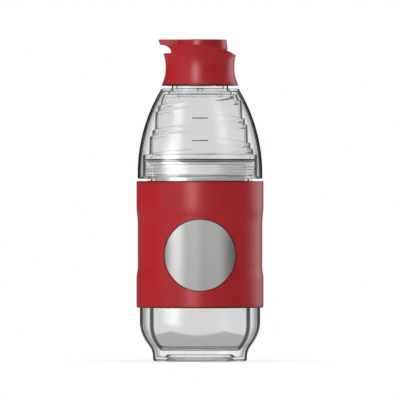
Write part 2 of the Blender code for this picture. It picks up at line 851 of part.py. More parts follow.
def make_thumb_tab():
    """A sector of the cap's flared outside, hollowed below for the thumb."""
    underside = lid_top - tab_thickness
    hollow_foot = notch_floor + tab_floor_gap
    tip = cap_radius(underside)
    root = lid_skirt_radius - root_share * lid_wall
    hollow_depth = tip - lid_skirt_radius - tab_root_depth
    outline = [(cap_radius(lid_top), lid_top)]
    outline += oval_arc((tip, hollow_foot), hollow_depth, underside - hollow_foot, 90, 180)
    outline += [(root, hollow_foot), (root, lid_top)]
    tab = add_cutter("thumb_tab_ring", profile_mesh("thumb_tab_ring", outline, True))
    spin(tab, round_steps)
    reach = cap_radius(lid_top) + overrun
    sector = box_mesh(
        "thumb_tab_sector",
        (-reach, -tab_half_width, hollow_foot - overrun),
        (-lid_inner_radius / 2, tab_half_width, lid_top + overrun),
    )
    combine(tab, add_cutter("thumb_tab_sector", sector), "INTERSECT")
    return tab


def make_knuckle():
    """The lug that reaches from the lid's skirt to the hinge pin."""
    root = lid_skirt_radius - root_share * lid_wall
    shoulder = hinge_height + knuckle_radius + knuckle_root_rise
    outline = [(root, lid_bottom), (root, shoulder), (lid_skirt_radius, shoulder)]
    outline += arc((hinge_offset, hinge_height), knuckle_radius, 70, -180, steps=12)
    outline += [(lid_skirt_radius, lid_bottom)]
    return add_cutter("knuckle_form", prism("knuckle_form", outline, knuckle_half_width))


def make_stopper(name, offset, radius, mouth_height_above_deck):
    """A soft disc held in its boss under the lid, just clear of the mouth that it closes."""
    high = lid_top - lid_ceiling - clearance
    low = deck_top + mouth_height_above_deck + clearance
    mesh = rod_mesh(name, radius, (offset, 0, low), (offset, 0, high))
    return add_part(name, mesh, pale_silicone, lid_axis)


clear_scene()
parts = make_collection("coffee_brewing_bottle")
cutters = make_collection("cutters")

clear_plastic = make_material("clear_plastic", (0.93, 0.94, 0.94), 0.05, transmission=1.0)
red_silicone = make_material("red_silicone", (0.43, 0.02, 0.024), 0.45)
red_plastic = make_material("red_plastic", (0.43, 0.02, 0.024), 0.35)
dark_plastic = make_material("dark_plastic", (0.30, 0.015, 0.02), 0.4)
brushed_steel = make_material("brushed_steel", (0.62, 0.62, 0.61), 0.32, metallic=1.0)
steel_mesh = make_material("steel_mesh", (0.55, 0.55, 0.54), 0.4, metallic=1.0)
pale_silicone = make_material("pale_silicone", (0.75, 0.75, 0.73), 0.5)

filter_axis = make_axis("filter_axis", (0, 0, filter_rim_bottom))
seal_axis = make_axis("seal_axis", (0, 0, seal_bottom), filter_axis)
kettle_axis = make_axis("kettle_axis", (0, 0, kettle_bottom), seal_axis)
gasket_axis = make_axis("gasket_axis", (0, 0, gasket_bottom), kettle_axis)
cap_axis = make_axis("cap_axis", (0, 0, cap_bottom), gasket_axis)
lid_axis = make_axis("lid_axis", (hinge_offset, 0, hinge_height), cap_axis)

make_tumbler_jacket()
make_tumbler_liner()
make_grip_sleeve()
make_window_plate()
make_filter_flange()
make_filter_wall()
make_filter_base()
make_joint_seal()
make_kettle_liner()
make_kettle_dome()
make_shoulder_plug()
make_cap_gasket()
make_cap_shell()
make_pour_insert()
make_insert_ring()
make_hinge_pin()
make_flip_lid()
make_stopper("spout_stopper", -nozzle_offset, stopper_radius, nozzle_height)
make_stopper("vent_stopper", vent_offset, vent_stopper_radius, vent_height)
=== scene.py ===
# Looks for the portable coffee brewing bottle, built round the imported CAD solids.
# Metres, +Z up, the centre of the foot at the origin, and the round window faces -Y.

import json
import math

import bmesh
import bpy
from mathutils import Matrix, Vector

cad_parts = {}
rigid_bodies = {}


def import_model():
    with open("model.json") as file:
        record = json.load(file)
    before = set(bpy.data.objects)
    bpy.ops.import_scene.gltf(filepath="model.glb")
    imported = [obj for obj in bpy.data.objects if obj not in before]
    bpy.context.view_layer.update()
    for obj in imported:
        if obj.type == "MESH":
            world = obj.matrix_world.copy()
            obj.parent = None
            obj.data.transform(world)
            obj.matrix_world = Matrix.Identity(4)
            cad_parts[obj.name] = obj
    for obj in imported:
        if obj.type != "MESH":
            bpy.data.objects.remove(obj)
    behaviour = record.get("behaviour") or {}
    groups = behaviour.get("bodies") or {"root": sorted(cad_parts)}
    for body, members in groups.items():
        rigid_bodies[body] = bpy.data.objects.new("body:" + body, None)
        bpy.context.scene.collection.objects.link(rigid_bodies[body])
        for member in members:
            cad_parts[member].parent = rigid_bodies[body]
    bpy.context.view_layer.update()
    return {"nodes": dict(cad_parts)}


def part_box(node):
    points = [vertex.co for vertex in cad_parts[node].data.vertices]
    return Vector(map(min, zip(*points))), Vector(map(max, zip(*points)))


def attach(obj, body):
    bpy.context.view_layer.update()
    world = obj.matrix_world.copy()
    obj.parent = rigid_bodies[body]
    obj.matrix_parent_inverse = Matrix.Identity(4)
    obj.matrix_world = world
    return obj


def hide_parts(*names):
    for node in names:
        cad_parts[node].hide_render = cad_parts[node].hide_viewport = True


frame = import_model()
mm = 0.001
print("frame loaded with", len(frame["nodes"]), "CAD nodes")


# Outlines and meshes

shaping = {
    "cornerSteps": 4, "legShare": 0.48,     # a rounded corner takes up no more than this of either leg
    "samePoint": 0.002 * mm, "weld": 0.01 * mm, "bevelSegments": 3,
}


def roundSpan(node):  # lowest and highest point of a round CAD node, and its radius
    low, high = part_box(node)
    return low.z, high.z, high.y


# Corners are (radius, height) or (radius, height, reach): a reach swaps the corner for a short curve
def roundOff(corners):
    points = []
    for at, corner in enumerate(corners):
        here = Vector(corner[:2])
        reach = corner[2] if len(corner) > 2 else 0
        if not reach:
            points.append(tuple(here))
            continue
        legIn = Vector(corners[at - 1][:2]) - here
        legOut = Vector(corners[(at + 1) % len(corners)][:2]) - here
        reach = min(reach, legIn.length * shaping["legShare"], legOut.length * shaping["legShare"])
        start = here + legIn.normalized() * reach
        end = here + legOut.normalized() * reach
        for step in range(shaping["cornerSteps"] + 1):
            t = step / shaping["cornerSteps"]
            points.append(tuple(start * (1 - t) ** 2 + here * (2 * t * (1 - t)) + end * t ** 2))
    return points


def arcPoints(centre, radius, startDegrees, endDegrees, steps):
    points = []
    for step in range(steps + 1):
        angle = math.radians(startDegrees + (endDegrees - startDegrees) * step / steps)
        points.append((centre[0] + radius * math.cos(angle), centre[1] + radius * math.sin(angle)))
    return points


def smooth(t):
    t = min(max(t, 0), 1)
    return t * t * (3 - 2 * t)


# An S between two upright walls, which turns over at that share of its height
def ogeePoints(top, bottom, steps, turn=0.5):
    points = []
    for step in range(steps + 1):
        t = step / steps
        share = t ** 2 / turn if t < turn else 1 - (1 - t) ** 2 / (1 - turn)
        points.append((top[0] + (bottom[0] - top[0]) * share, top[1] + (bottom[1] - top[1]) * t))
    return points


def insetPoints(points, wall):  # the same line, moved inwards by the wall; it runs downwards outside
    moved = []
    for at, here in enumerate(points):
        before = Vector(points[max(at - 1, 0)])
        after = Vector(points[min(at + 1, len(points) - 1)])
        along = (after - before).normalized()
        moved.append((here[0] + along[1] * wall, here[1] - along[0] * wall))
    return moved


def straight(start, end, steps):  # points between two places, without the first
    return [
        (start[0] + (end[0] - start[0]) * step / steps, start[1] + (end[1] - start[1]) * step / steps)
        for step in range(1, steps + 1)
    ]


def meshFrom(made, name):  # the finished mesh, with all its faces pointing out
    bmesh.ops.recalc_face_normals(made, faces=made.faces)
    mesh = bpy.data.meshes.new(name)
    made.to_mesh(mesh)
    made.free()
    return mesh


# Turns a section about the axis: a list of points, or a function that gives as many of them at every angle
def turnedMesh(name, section, steps, closed=True):
    sectionAt = section if callable(section) else lambda angle: section
    made = bmesh.new()
    uvLayer = made.loops.layers.uv.new("UVMap")
    columns = []
    for step in range(steps):
        angle = math.tau * step / steps
        across, along = math.cos(angle), math.sin(angle)
        columns.append([made.verts.new((r * across, r * along, z)) for r, z in sectionAt(angle)])
    outline = sectionAt(0)
    run = [0.0]     # the UVs are in metres, along the section and round its widest place
    for at in range(len(outline)):
        run.append(run[-1] + math.dist(outline[at], outline[(at + 1) % len(outline)]))
    widest = max(r for r, z in outline)
    for step in range(steps):
        left, right = columns[step], columns[(step + 1) % steps]
        for at in range(len(outline) if closed else len(outline) - 1):
            below = (at + 1) % len(outline)
            face = made.faces.new((left[at], left[below], right[below], right[at]))
            corners = ((step, run[at]), (step, run[at + 1]), (step + 1, run[at + 1]), (step + 1, run[at]))
            for loop, (turn, height) in zip(face.loops, corners):
                loop[uvLayer].uv = (math.tau * widest * turn / steps, height)
    bmesh.ops.remove_doubles(made, verts=made.verts, dist=shaping["samePoint"])
    return meshFrom(made, name)


def prismMesh(name, outline, halfDepth):  # an outline of (x, z) points, made thick along Y
    made = bmesh.new()
    face = made.faces.new([made.verts.new((x, -halfDepth, z)) for x, z in outline])
    grown = bmesh.ops.extrude_face_region(made, geom=[face])["geom"]
    far = [part for part in grown if isinstance(part, bmesh.types.BMVert)]
    bmesh.ops.translate(made, vec=(0, 2 * halfDepth, 0), verts=far)
    return meshFrom(made, name)


def boxMesh(name, low, high):
    outline = [(low[0], low[2]), (high[0], low[2]), (high[0], high[2]), (low[0], high[2])]
    mesh = prismMesh(name, outline, (high[1] - low[1]) / 2)
    return shiftMesh(mesh, (0, (high[1] + low[1]) / 2, 0))


def shiftMesh(mesh, offset):
    for vertex in mesh.vertices:
        vertex.co += Vector(offset)
    return mesh


def rodMesh(name, radius, start, end, steps, reach=0):  # a round bar, with rounded ends if it has a reach
    start, end = Vector(start), Vector(end)
    half = (end - start).length / 2
    outline = roundOff([(0, half), (radius, half, reach), (radius, -half, reach), (0, -half)])
    mesh = turnedMesh(name, outline, steps, closed=False)
    turn = Vector((0, 0, 1)).rotation_difference(end - start).to_matrix()
    for vertex in mesh.vertices:
        vertex.co = turn @ vertex.co + (start + end) / 2
    return mesh


def addPiece(name, mesh, material, body, node=None, edge=35):
    piece = bpy.data.objects.new(name, mesh)
    bpy.context.scene.collection.objects.link(piece)
    mesh.materials.clear()
    mesh.materials.append(material)
    mesh.shade_smooth()
    mesh.set_sharp_from_angle(angle=math.radians(edge))
    weighted = piece.modifiers.new("evenNormals", "WEIGHTED_NORMAL")
    weighted.keep_sharp = True
    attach(piece, body)
    if node:
        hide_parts(node)


def turnedPiece(name, section, steps, material, body, node, closed=True, edge=35):
    addPiece(name, turnedMesh(name, section, steps, closed), material, body, node, edge)


def ringPiece(name, sizes, material, body, node):  # a soft flat ring with rounded lips
    low, high, radius = roundSpan(node)
    inner, reach = radius - sizes["width"], sizes["round"]
    section = roundOff([
        (radius, high, reach), (radius, low, reach), (inner, low, reach), (inner, high, reach),
    ])
    turnedPiece(name, section, sizes["steps"], material, body, node)


# Cuts, joins and rounds a mesh with modifiers, and gives back the finished mesh
def shapedMesh(mesh, steps, bevel=0, bevelAngle=0):
    base = bpy.data.objects.new("shaping", mesh)
    helpers = [base]
    bpy.context.scene.collection.objects.link(base)
    for operation, other in steps:
        helper = bpy.data.objects.new("shapingTool", other)
        bpy.context.scene.collection.objects.link(helper)
        helpers.append(helper)
        boolean = base.modifiers.new("shape", "BOOLEAN")
        boolean.operation = operation
        boolean.solver = "EXACT"
        boolean.object = helper
    if bevel:
        weld = base.modifiers.new("weld", "WELD")
        weld.merge_threshold = shaping["weld"]
        rounding = base.modifiers.new("rounding", "BEVEL")
        rounding.width = bevel
        rounding.segments = shaping["bevelSegments"]
        rounding.limit_method = "ANGLE"
        rounding.angle_limit = math.radians(bevelAngle)
        rounding.use_clamp_overlap = True
        rounding.miter_outer = "MITER_ARC"
    bpy.context.view_layer.update()
    finished = bpy.data.meshes.new_from_object(base.evaluated_get(bpy.context.evaluated_depsgraph_get()))
    finished.name = mesh.name
    for helper in helpers:
        bpy.data.objects.remove(helper)
    return finished


# Materials

def newMaterial(name, settings):
    material = bpy.data.materials.new(name)
    material.use_nodes = True
    shader = material.node_tree.nodes["Principled BSDF"]
    for socket, value in settings.items():
        shader.inputs[socket].default_value = value
    return material, shader


# Values are numbers, or sockets to link. A world can stand in for the material
def addNode(material, kind, values=None, **fields):
    node = material.node_tree.nodes.new(kind)
    for field, value in fields.items():
        setattr(node, field, value)
    for socket, value in (values or {}).items():
        if isinstance(value, bpy.types.NodeSocket):
            material.node_tree.links.new(value, node.inputs[socket])
        else:
            node.inputs[socket].default_value = value
    return node


def link(material, source, target):
    material.node_tree.links.new(source, target)


def calculate(material, operation, *values):
    return addNode(material, "ShaderNodeMath", dict(enumerate(values)), operation=operation).outputs[0]


def calculateVector(material, operation, *values, output="Vector"):
    node = addNode(material, "ShaderNodeVectorMath", dict(enumerate(values)), operation=operation)
    return node.outputs[output]


def ownPlace(material):  # where a point lies in the part's frame
    return addNode(material, "ShaderNodeTexCoord").outputs["Object"]


def ownAxes(material):  # the same, as X, Y and Z
    return addNode(material, "ShaderNodeSeparateXYZ", {0: ownPlace(material)}).outputs


def blendColours(material, share, first, second):
    mix = addNode(material, "ShaderNodeMix", data_type="RGBA")
    link(material, share, mix.inputs[0])
    for socket, colour in ((mix.inputs[6], first), (mix.inputs[7], second)):
        if isinstance(colour, bpy.types.NodeSocket):
            link(material, colour, socket)
        else:
            socket.default_value = (*colour, 1)
    return mix.outputs[2]


def blendShaders(material, share, first, second):  # and shows the blend on the surface
    mix = addNode(material, "ShaderNodeMixShader", {0: share, 1: first.outputs[0], 2: second.outputs[0]})
    link(material, mix.outputs[0], material.node_tree.nodes["Material Output"].inputs["Surface"])


def mapRange(material, value, low, high, fromLow=0.0, fromHigh=1.0):
    span = addNode(material, "ShaderNodeMapRange", {0: value, 1: fromLow, 2: fromHigh, 3: low, 4: high})
    return span.outputs[0]


def grain(material, scale, detail, stretch=(1, 1, 1)):
    mapping = addNode(material, "ShaderNodeMapping", {"Vector": ownPlace(material), "Scale": stretch})
    noise = addNode(material, "ShaderNodeTexNoise", {
        "Vector": mapping.outputs[0], "Scale": scale, "Detail": detail,
    })
    return noise.outputs["Fac"]


def addBump(material, shader, height, strength, distance, below=None):
    bump = addNode(material, "ShaderNodeBump", {
        "Height": height, "Strength": strength, "Distance": distance,
    })
    if below:
        link(material, below, bump.inputs["Normal"])
    link(material, bump.outputs[0], shader.inputs["Normal"])
    return bump.outputs[0]


moulding = {
    "drift": (45, 2), "driftBump": (0.10, 0.4 * mm), "fineDetail": 4, "fineBump": 0.05 * mm,
    # the last is the share of the painted hem shade that is fully dark
    "wander": 0.05, "sheenRoughness": 0.6, "hemShadeCore": 0.4,
}


# A moulded, coloured finish: broad shade drift, fine grain, a roughness that wanders a little, and painted
# shade along each hem line a look lists
def mouldedMaterial(name, look):
    material, shader = newMaterial(name, {
        "Specular IOR Level": look["specular"],
        "Sheen Weight": look.get("sheen", 0),
        "Sheen Roughness": moulding["sheenRoughness"],
    })
    drift = grain(material, *moulding["drift"])
    fine = grain(material, look["grainScale"], moulding["fineDetail"])
    shade = blendColours(material, drift, look["colour"], look["drifted"])
    # painted shade: the hem lines are darkened towards the edge colour, as the shade along the rounded rims
    if "hemShade" in look:
        shade = blendColours(material, hemShadeShare(material, *look["hemShade"]), shade, look["edge"])
    link(material, shade, shader.inputs["Base Color"])
    smoothest, roughest = look["roughness"] - moulding["wander"], look["roughness"] + moulding["wander"]
    link(material, mapRange(material, fine, smoothest, roughest), shader.inputs["Roughness"])
    broad = addBump(material, shader, drift, *moulding["driftBump"])
    addBump(material, shader, fine, look["grainDepth"], moulding["fineBump"], broad)
    return material


def hemShadeShare(material, low, high, width):  # painted shade: one within a hair of either height, nothing between
    middle, half = (low + high) / 2, (high - low) / 2
    away = calculate(material, "ABSOLUTE", calculate(material, "SUBTRACT", ownAxes(material)["Z"], middle))
    return mapRange(material, away, 0, 1, half - width, half - width * moulding["hemShadeCore"])


sleeveLow, sleeveHigh, sleeveRadius = roundSpan("grip_sleeve")
capLow, rimTop, capWide = roundSpan("cap_shell")
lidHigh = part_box("flip_lid")[1].z
siliconeLook = {
    "colour": (0.50, 0.009, 0.013), "drifted": (0.54, 0.012, 0.017), "roughness": 0.34, "specular": 0.36,
    # edge is the colour of the painted shade along the hem lines
    "grainScale": 2600, "grainDepth": 0.30, "edge": (0.12, 0.005, 0.007),
    "hemShade": (sleeveLow, sleeveHigh, 1.2 * mm),
}
capLook = {
    "colour": (0.50, 0.009, 0.013), "drifted": (0.54, 0.012, 0.017), "roughness": 0.32, "specular": 0.40,
    # edge is the colour of the painted shade along the hem lines
    "grainScale": 1500, "grainDepth": 0.15, "edge": (0.12, 0.005, 0.007),
    "hemShade": (capLow, 2 * lidHigh - capLow, 1.2 * mm),   # the upper one lies above the lid, where nothing is
}
insertLook = {
    "colour": (0.27, 0.013, 0.017), "drifted": (0.31, 0.016, 0.020), "roughness": 0.48, "specular": 0.4,
    "grainScale": 1800, "grainDepth": 0.25,
}
paleLook = {
    "colour": (0.70, 0.70, 0.68), "drifted": (0.76, 0.76, 0.74), "roughness": 0.5, "specular": 0.4,
    "grainScale": 2200, "grainDepth": 0.3, "sheen": 0.1,
}
# painted shade: the joint seal is coloured dark grey to show the dark lines at the joint
sealShadeLook = {
    "colour": (0.16, 0.16, 0.16), "drifted": (0.20, 0.20, 0.20), "roughness": 0.5, "specular": 0.4,
    "grainScale": 2200, "grainDepth": 0.3,
}
inkLook = {
    "colour": (0.10, 0.10, 0.10), "drifted": (0.15, 0.15, 0.15), "roughness": 0.5, "specular": 0.3,
    "grainScale": 3000, "grainDepth": 0.2,
}

redSilicone = mouldedMaterial("redSilicone", siliconeLook)
redPlastic = mouldedMaterial("redPlastic", capLook)
insertPlastic = mouldedMaterial("insertPlastic", insertLook)
paleSilicone = mouldedMaterial("paleSilicone", paleLook)
sealShadeSilicone = mouldedMaterial("sealShadeSilicone", sealShadeLook)
markInk = mouldedMaterial("markInk", inkLook)

# Threads: ridges that climb to the right, between a lowest and a highest height
cupLow, cupHigh, flangeRadius = roundSpan("tumbler_liner")
kettleLow, neckTop, kettleWide = roundSpan("kettle_liner")
jointThread = {
    "spacing": 3.5 * mm, "starts": 1, "depth": 0.85 * mm, "crest": 0.30 * mm, "flank": 0.85 * mm,
    "low": cupHigh - 9.1 * mm, "high": cupHigh - 1.2 * mm,
}
capThread = {
    "spacing": 3.3 * mm, "starts": 2, "depth": 0.85 * mm, "crest": 0.30 * mm, "flank": 0.80 * mm,
    "low": neckTop - 10.0 * mm, "high": neckTop - 1.4 * mm,
}
ridges = {
    "fade": 1.0 * mm, "lineHalf": 0.2 * mm, "flankShare": 0.25, "rows": 64,
    "nutPhase": 0.5,    # the ridges inside a collar lie between those it turns on
}


def threadRise(thread, height, angle, phase):
    low, high, fade = thread["low"], thread["high"], ridges["fade"]
    lead = thread["spacing"] * thread["starts"]
    count = (height - low - lead * angle / math.tau) / thread["spacing"] - phase
    offset = (count - round(count)) * thread["spacing"]
    ridge = height - offset
    ends = smooth((ridge - low) / fade) * smooth((high - ridge) / fade)
    crest = 1 - smooth((abs(offset) - thread["crest"]) / thread["flank"])
    return thread["depth"] * crest * ends


def threadPoints(radius, top, bottom, thread, angle, phase=0.0, inwards=False):
    points = []
    for step in range(ridges["rows"] + 1):
        height = top + (bottom - top) * step / ridges["rows"]
        rise = threadRise(thread, height, angle, phase)
        points.append((radius - rise if inwards else radius + rise, height))
    return points


clearLook = {
    "tint": (0.93, 0.935, 0.935),   # what one pass through the plastic leaves
    "edge": (0.0, 0.0, 0.0),        # painted shade: the dark line where a wall turns away
    "shadeBand": 0.28, "shadeBandEdge": (0.54, 0.68),     # painted shade: a greyer band within it
    "outerEdge": (0.69, 0.78), "innerEdge": (0.84, 0.92),   # shares of turning away, from clear to dark
    "index": 1.03, "roughness": 0.01, "coat": 1.0, "gloss": 0.26, "coatIndex": 1.5,
    "shadow": (0.98, 0.98, 0.98),
    "flatness": 0.35,               # how much the slope of a ledge counts
    "bends": 5.5,                   # a ray that has bent this often passes the next walls unbent
    "threads": (), "ridgeShade": (0.08, 0.5), "ridgeEdge": (0.45, 0.65),    # painted shade along thread flanks, darker at the sides
    "lines": (), "lineHalf": 0.28 * mm,     # heights at which a moulded corner gets a painted dark line, as the shade it shows
    "handling": (180, 3), "smear": 0.03, "swell": (60, 1), "swellBump": (0.05, 0.3 * mm),
}


def flatFacing(material, keep):  # how far a wall turns away sideways; small ledges count for less
    normal = addNode(material, "ShaderNodeNewGeometry").outputs["Normal"]
    flat = calculateVector(material, "MULTIPLY", normal, (1, 1, keep))
    even = calculateVector(material, "NORMALIZE", flat)
    return addNode(material, "ShaderNodeLayerWeight", {"Blend": 0.5, "Normal": even}).outputs["Facing"]


def isOuter(material):  # one on the side of a wall that faces away from the axis
    shape = addNode(material, "ShaderNodeNewGeometry").outputs
    out = calculateVector(material, "MULTIPLY", ownPlace(material), (1, 1, 0))
    along = calculateVector(material, "DOT_PRODUCT", out, shape["Normal"], output="Value")
    flip = calculate(material, "MULTIPLY_ADD", shape["Backfacing"], -2.0, 1.0)  # undoes the turned normal
    return calculate(material, "GREATER_THAN", calculate(material, "MULTIPLY", along, flip), 0.0)


def cornerShadeShare(material, line, half):  # painted shade: how dark the corner at this height is, within half a line of it
    height, depth = line
    near = calculate(material, "COMPARE", ownAxes(material)["Z"], height, half)
    return calculate(material, "MULTIPLY", near, depth)


def threadShadeShare(material, thread, phase):  # painted shade: one along both flanks of a thread's ridge
    axes, low, high = ownAxes(material), thread["low"], thread["high"]
    angle = calculate(material, "ARCTAN2", axes["Y"], axes["X"])
    start = -low / thread["spacing"] - phase
    climb = calculate(material, "MULTIPLY_ADD", angle, -thread["starts"] / math.tau, start)
    count = calculate(material, "MULTIPLY_ADD", axes["Z"], 1 / thread["spacing"], climb)
    offset = calculate(material, "SUBTRACT", count, calculate(material, "ROUND", count))
    away, line = calculate(material, "ABSOLUTE", offset), ridges["lineHalf"] / thread["spacing"]
    flank = calculate(material, "COMPARE", away, ridges["flankShare"], line)
    within = calculate(material, "COMPARE", axes["Z"], (low + high) / 2, (high - low) / 2)
    return calculate(material, "MULTIPLY", flank, within)


def darkLowShare(material, darkLowPart):  # one below a line of smooth dips and sharp peaks
    axes = ownAxes(material)
    turn = calculate(material, "MULTIPLY_ADD", axes["X"], math.pi / darkLowPart["spacing"], darkLowPart["shift"])
    dip = calculate(material, "ABSOLUTE", calculate(material, "COSINE", turn))
    height = calculate(material, "MULTIPLY_ADD", dip, darkLowPart["rise"], axes["Z"])
    low, high = darkLowPart["peak"] - darkLowPart["blur"], darkLowPart["peak"] + darkLowPart["blur"]
    return mapRange(material, height, 1, 0, low, high)


def clearMaterial(name, changes):
    look = {**clearLook, **changes}
    material, shader = newMaterial(name, {
        "Transmission Weight": 1.0, "IOR": look["index"],
        "Coat Roughness": look["gloss"], "Coat IOR": look["coatIndex"],
    })
    outside = isOuter(material)
    link(material, calculate(material, "MULTIPLY", outside, look["coat"]), shader.inputs["Coat Weight"])
    facing = flatFacing(material, look["flatness"])
    # painted shade: the base colour darkens to the edge colour where a wall turns edge-on to the view, with
    # a greyer band inside that
    shadeBand = mapRange(material, facing, 0, look["shadeBand"], *look["shadeBandEdge"])
    outer = mapRange(material, facing, 0, 1, *look["outerEdge"])
    inner = mapRange(material, facing, 0, 1, *look["innerEdge"])
    edge = addNode(material, "ShaderNodeMix", {0: outside, 2: inner, 3: outer}).outputs[0]
    dark = calculate(material, "MAXIMUM", edge, shadeBand)
    if "edgeTop" in look:
        below = calculate(material, "LESS_THAN", ownAxes(material)["Z"], look["edgeTop"])
        dark = calculate(material, "MULTIPLY", dark, below)
    tint = look["tint"]
    if "darkLowPart" in look:
        tint = blendColours(material, darkLowShare(material, look["darkLowPart"]), tint, look["darkLowPart"]["tint"])
    # painted shade: dark lines along the thread flanks
    ridgeDark = mapRange(material, facing, *look["ridgeShade"], *look["ridgeEdge"])
    for thread in look["threads"]:
        flanks = calculate(material, "MULTIPLY", threadShadeShare(material, *thread), ridgeDark)
        tint = blendColours(material, flanks, tint, look["edge"])
    # painted shade: dark lines at the listed corner heights
    for line in look["lines"]:
        tint = blendColours(material, cornerShadeShare(material, line, look["lineHalf"]), tint, look["edge"])
    link(material, blendColours(material, dark, tint, look["edge"]), shader.inputs["Base Color"])
    handling = grain(material, *look["handling"])
    rough = mapRange(material, handling, look["roughness"], look["roughness"] + look["smear"])
    link(material, rough, shader.inputs["Roughness"])
    addBump(material, shader, grain(material, *look["swell"]), *look["swellBump"])
    through = addNode(material, "ShaderNodeBsdfTransparent", {"Color": (*look["shadow"], 1)})
    path = addNode(material, "ShaderNodeLightPath").outputs
    deep = calculate(material, "GREATER_THAN", path["Ray Depth"], look["bends"])
    blendShaders(material, calculate(material, "MAXIMUM", path["Is Shadow Ray"], deep), shader, through)
    return material


# The outer shells, the inner vessels and the plug are one plastic, with their own painted shade at corners
# and edges
shelfLow, shelfTop, ceilingHeight = 126.9 * mm, 130.0 * mm, 168.0 * mm
cupLook = {
    "tint": (0.87, 0.875, 0.875), "shadeBand": 0, "outerEdge": (0.56, 0.64), "innerEdge": (0.74, 0.84),
    "coat": 0.4, "edgeTop": 112 * mm, "ridgeShade": (0.08, 1.0),
    "lines": ((6.9 * mm, 0.8), (8.6 * mm, 0.8)), "threads": ((jointThread, 0.0),),
    "darkLowPart": {     # darker in its lowest part, up to a line of sharp peaks with smooth dips between them
        "tint": (0.68, 0.68, 0.68), "peak": 18.6 * mm, "rise": 2.6 * mm, "blur": 0.06 * mm,
        "spacing": 34 * mm, "shift": 0.15,
    },
}
vesselLook = {
    "tint": (0.865, 0.87, 0.87), "shadeBand": 0, "outerEdge": (0.62, 0.72), "innerEdge": (0.78, 0.90),
    "coat": 0.4, "lines": ((shelfLow, 1.0), (shelfTop, 0.4), (ceilingHeight - 0.2 * mm, 0.9)),
    "threads": ((jointThread, ridges["nutPhase"]), (capThread, 0.0)),
}
# the plug is outlined in painted shade: a dark edge and two dark lines
plugLook = {"shadeBand": 0, "outerEdge": (0.1, 0.35), "lines": ((169.8 * mm, 1), (171.6 * mm, 1)), "coat": 0.2}
jacketLook = {
    "flatness": 0.7, "shadeBand": 0.45, "outerEdge": (0.62, 0.70), "innerEdge": (0.78, 0.88),
    "lines": ((0.9 * mm, 0.8),),
}
domeLook = {"flatness": 1.0, "lines": ((171.3 * mm, 0.8),)}
clearPlastic = clearMaterial("clearPlastic", domeLook)
jacketPlastic = clearMaterial("jacketPlastic", jacketLook)
cupPlastic = clearMaterial("cupPlastic", cupLook)
vesselPlastic = clearMaterial("vesselPlastic", vesselLook)
plugPlastic = clearMaterial("plugPlastic", plugLook)

steelLook = {
    "colour": (0.62, 0.62, 0.61), "worn": (0.72, 0.72, 0.71), "roughness": 0.33, "spread": 0.08,
    "lines": (4, 6, (14, 14, 900)),     # brush marks run round the bottle
    "patches": (70, 2), "bump": (0.12, 0.03 * mm), "anisotropy": 0.55,
}
# painted light: the filter's steel is a lighter copy of the plate's, for the light it misses behind the
# clear walls
brightenedFilterLook = {**steelLook, "colour": (0.80, 0.80, 0.79), "worn": (0.88, 0.88, 0.87)}
meshLook = {
    "holeSpacing": 0.8 * mm, "holeShare": 0.26, "rimShare": 0.04, "roughness": (0.8, 0.34),
    # the hole colour is painted shade, seen through each hole
    "steel": (0.88, 0.88, 0.87), "hole": (0.12, 0.12, 0.12), "bump": (0.6, 0.15 * mm), "anisotropy": 0.3,
}


def steelMaterial(name, look):
    material, shader = newMaterial(name, {"Metallic": 1.0, "Anisotropic": look["anisotropy"]})
    lines = grain(material, *look["lines"])
    patches = grain(material, *look["patches"])
    link(material, blendColours(material, lines, look["colour"], look["worn"]), shader.inputs["Base Color"])
    uneven = calculate(material, "MULTIPLY", lines, patches)
    smoothest, roughest = look["roughness"] - look["spread"], look["roughness"] + look["spread"]
    link(material, mapRange(material, uneven, smoothest, roughest), shader.inputs["Roughness"])
    addBump(material, shader, lines, *look["bump"])
    return material


def meshMaterial(name, look):  # etched sheet: a grid of small round holes, painted dark as the shade seen through them
    material, shader = newMaterial(name, {"Metallic": 1.0, "Anisotropic": look["anisotropy"]})
    coordinates = addNode(material, "ShaderNodeTexCoord")
    cells = addNode(material, "ShaderNodeTexVoronoi", {
        "Vector": coordinates.outputs["UV"], "Scale": 1 / look["holeSpacing"], "Randomness": 0.0,
    }, voronoi_dimensions="2D")
    low, high = look["holeShare"] - look["rimShare"], look["holeShare"] + look["rimShare"]
    sheet = mapRange(material, cells.outputs["Distance"], 0, 1, low, high)
    link(material, blendColours(material, sheet, look["hole"], look["steel"]), shader.inputs["Base Color"])
    link(material, mapRange(material, sheet, *look["roughness"]), shader.inputs["Roughness"])
    addBump(material, shader, sheet, *look["bump"])
    return material


brushedSteel = steelMaterial("brushedSteel", steelLook)
brightenedFilterSteel = steelMaterial("brightenedFilterSteel", brightenedFilterLook)
etchedSteel = meshMaterial("etchedSteel", meshLook)
print("materials made")


# Tumbler

jacket = {
    "wall": 2.3 * mm, "footInset": 8.2 * mm, "footEdge": 3.0 * mm, "curveTop": 24.5 * mm, "curveTurn": 0.66,
    "landWidth": 6.9 * mm, "puntDepth": 1.9 * mm, "puntSlope": 1.7 * mm, "footTuck": 0.2 * mm,
    "rimRound": 0.7 * mm, "footRound": 1.1 * mm, "puntRound": 0.7 * mm,
    "innerPuntShare": 0.3, "innerLandShare": 0.2, "innerFootShare": 1.1, "curveSteps": 22, "steps": 168,
}


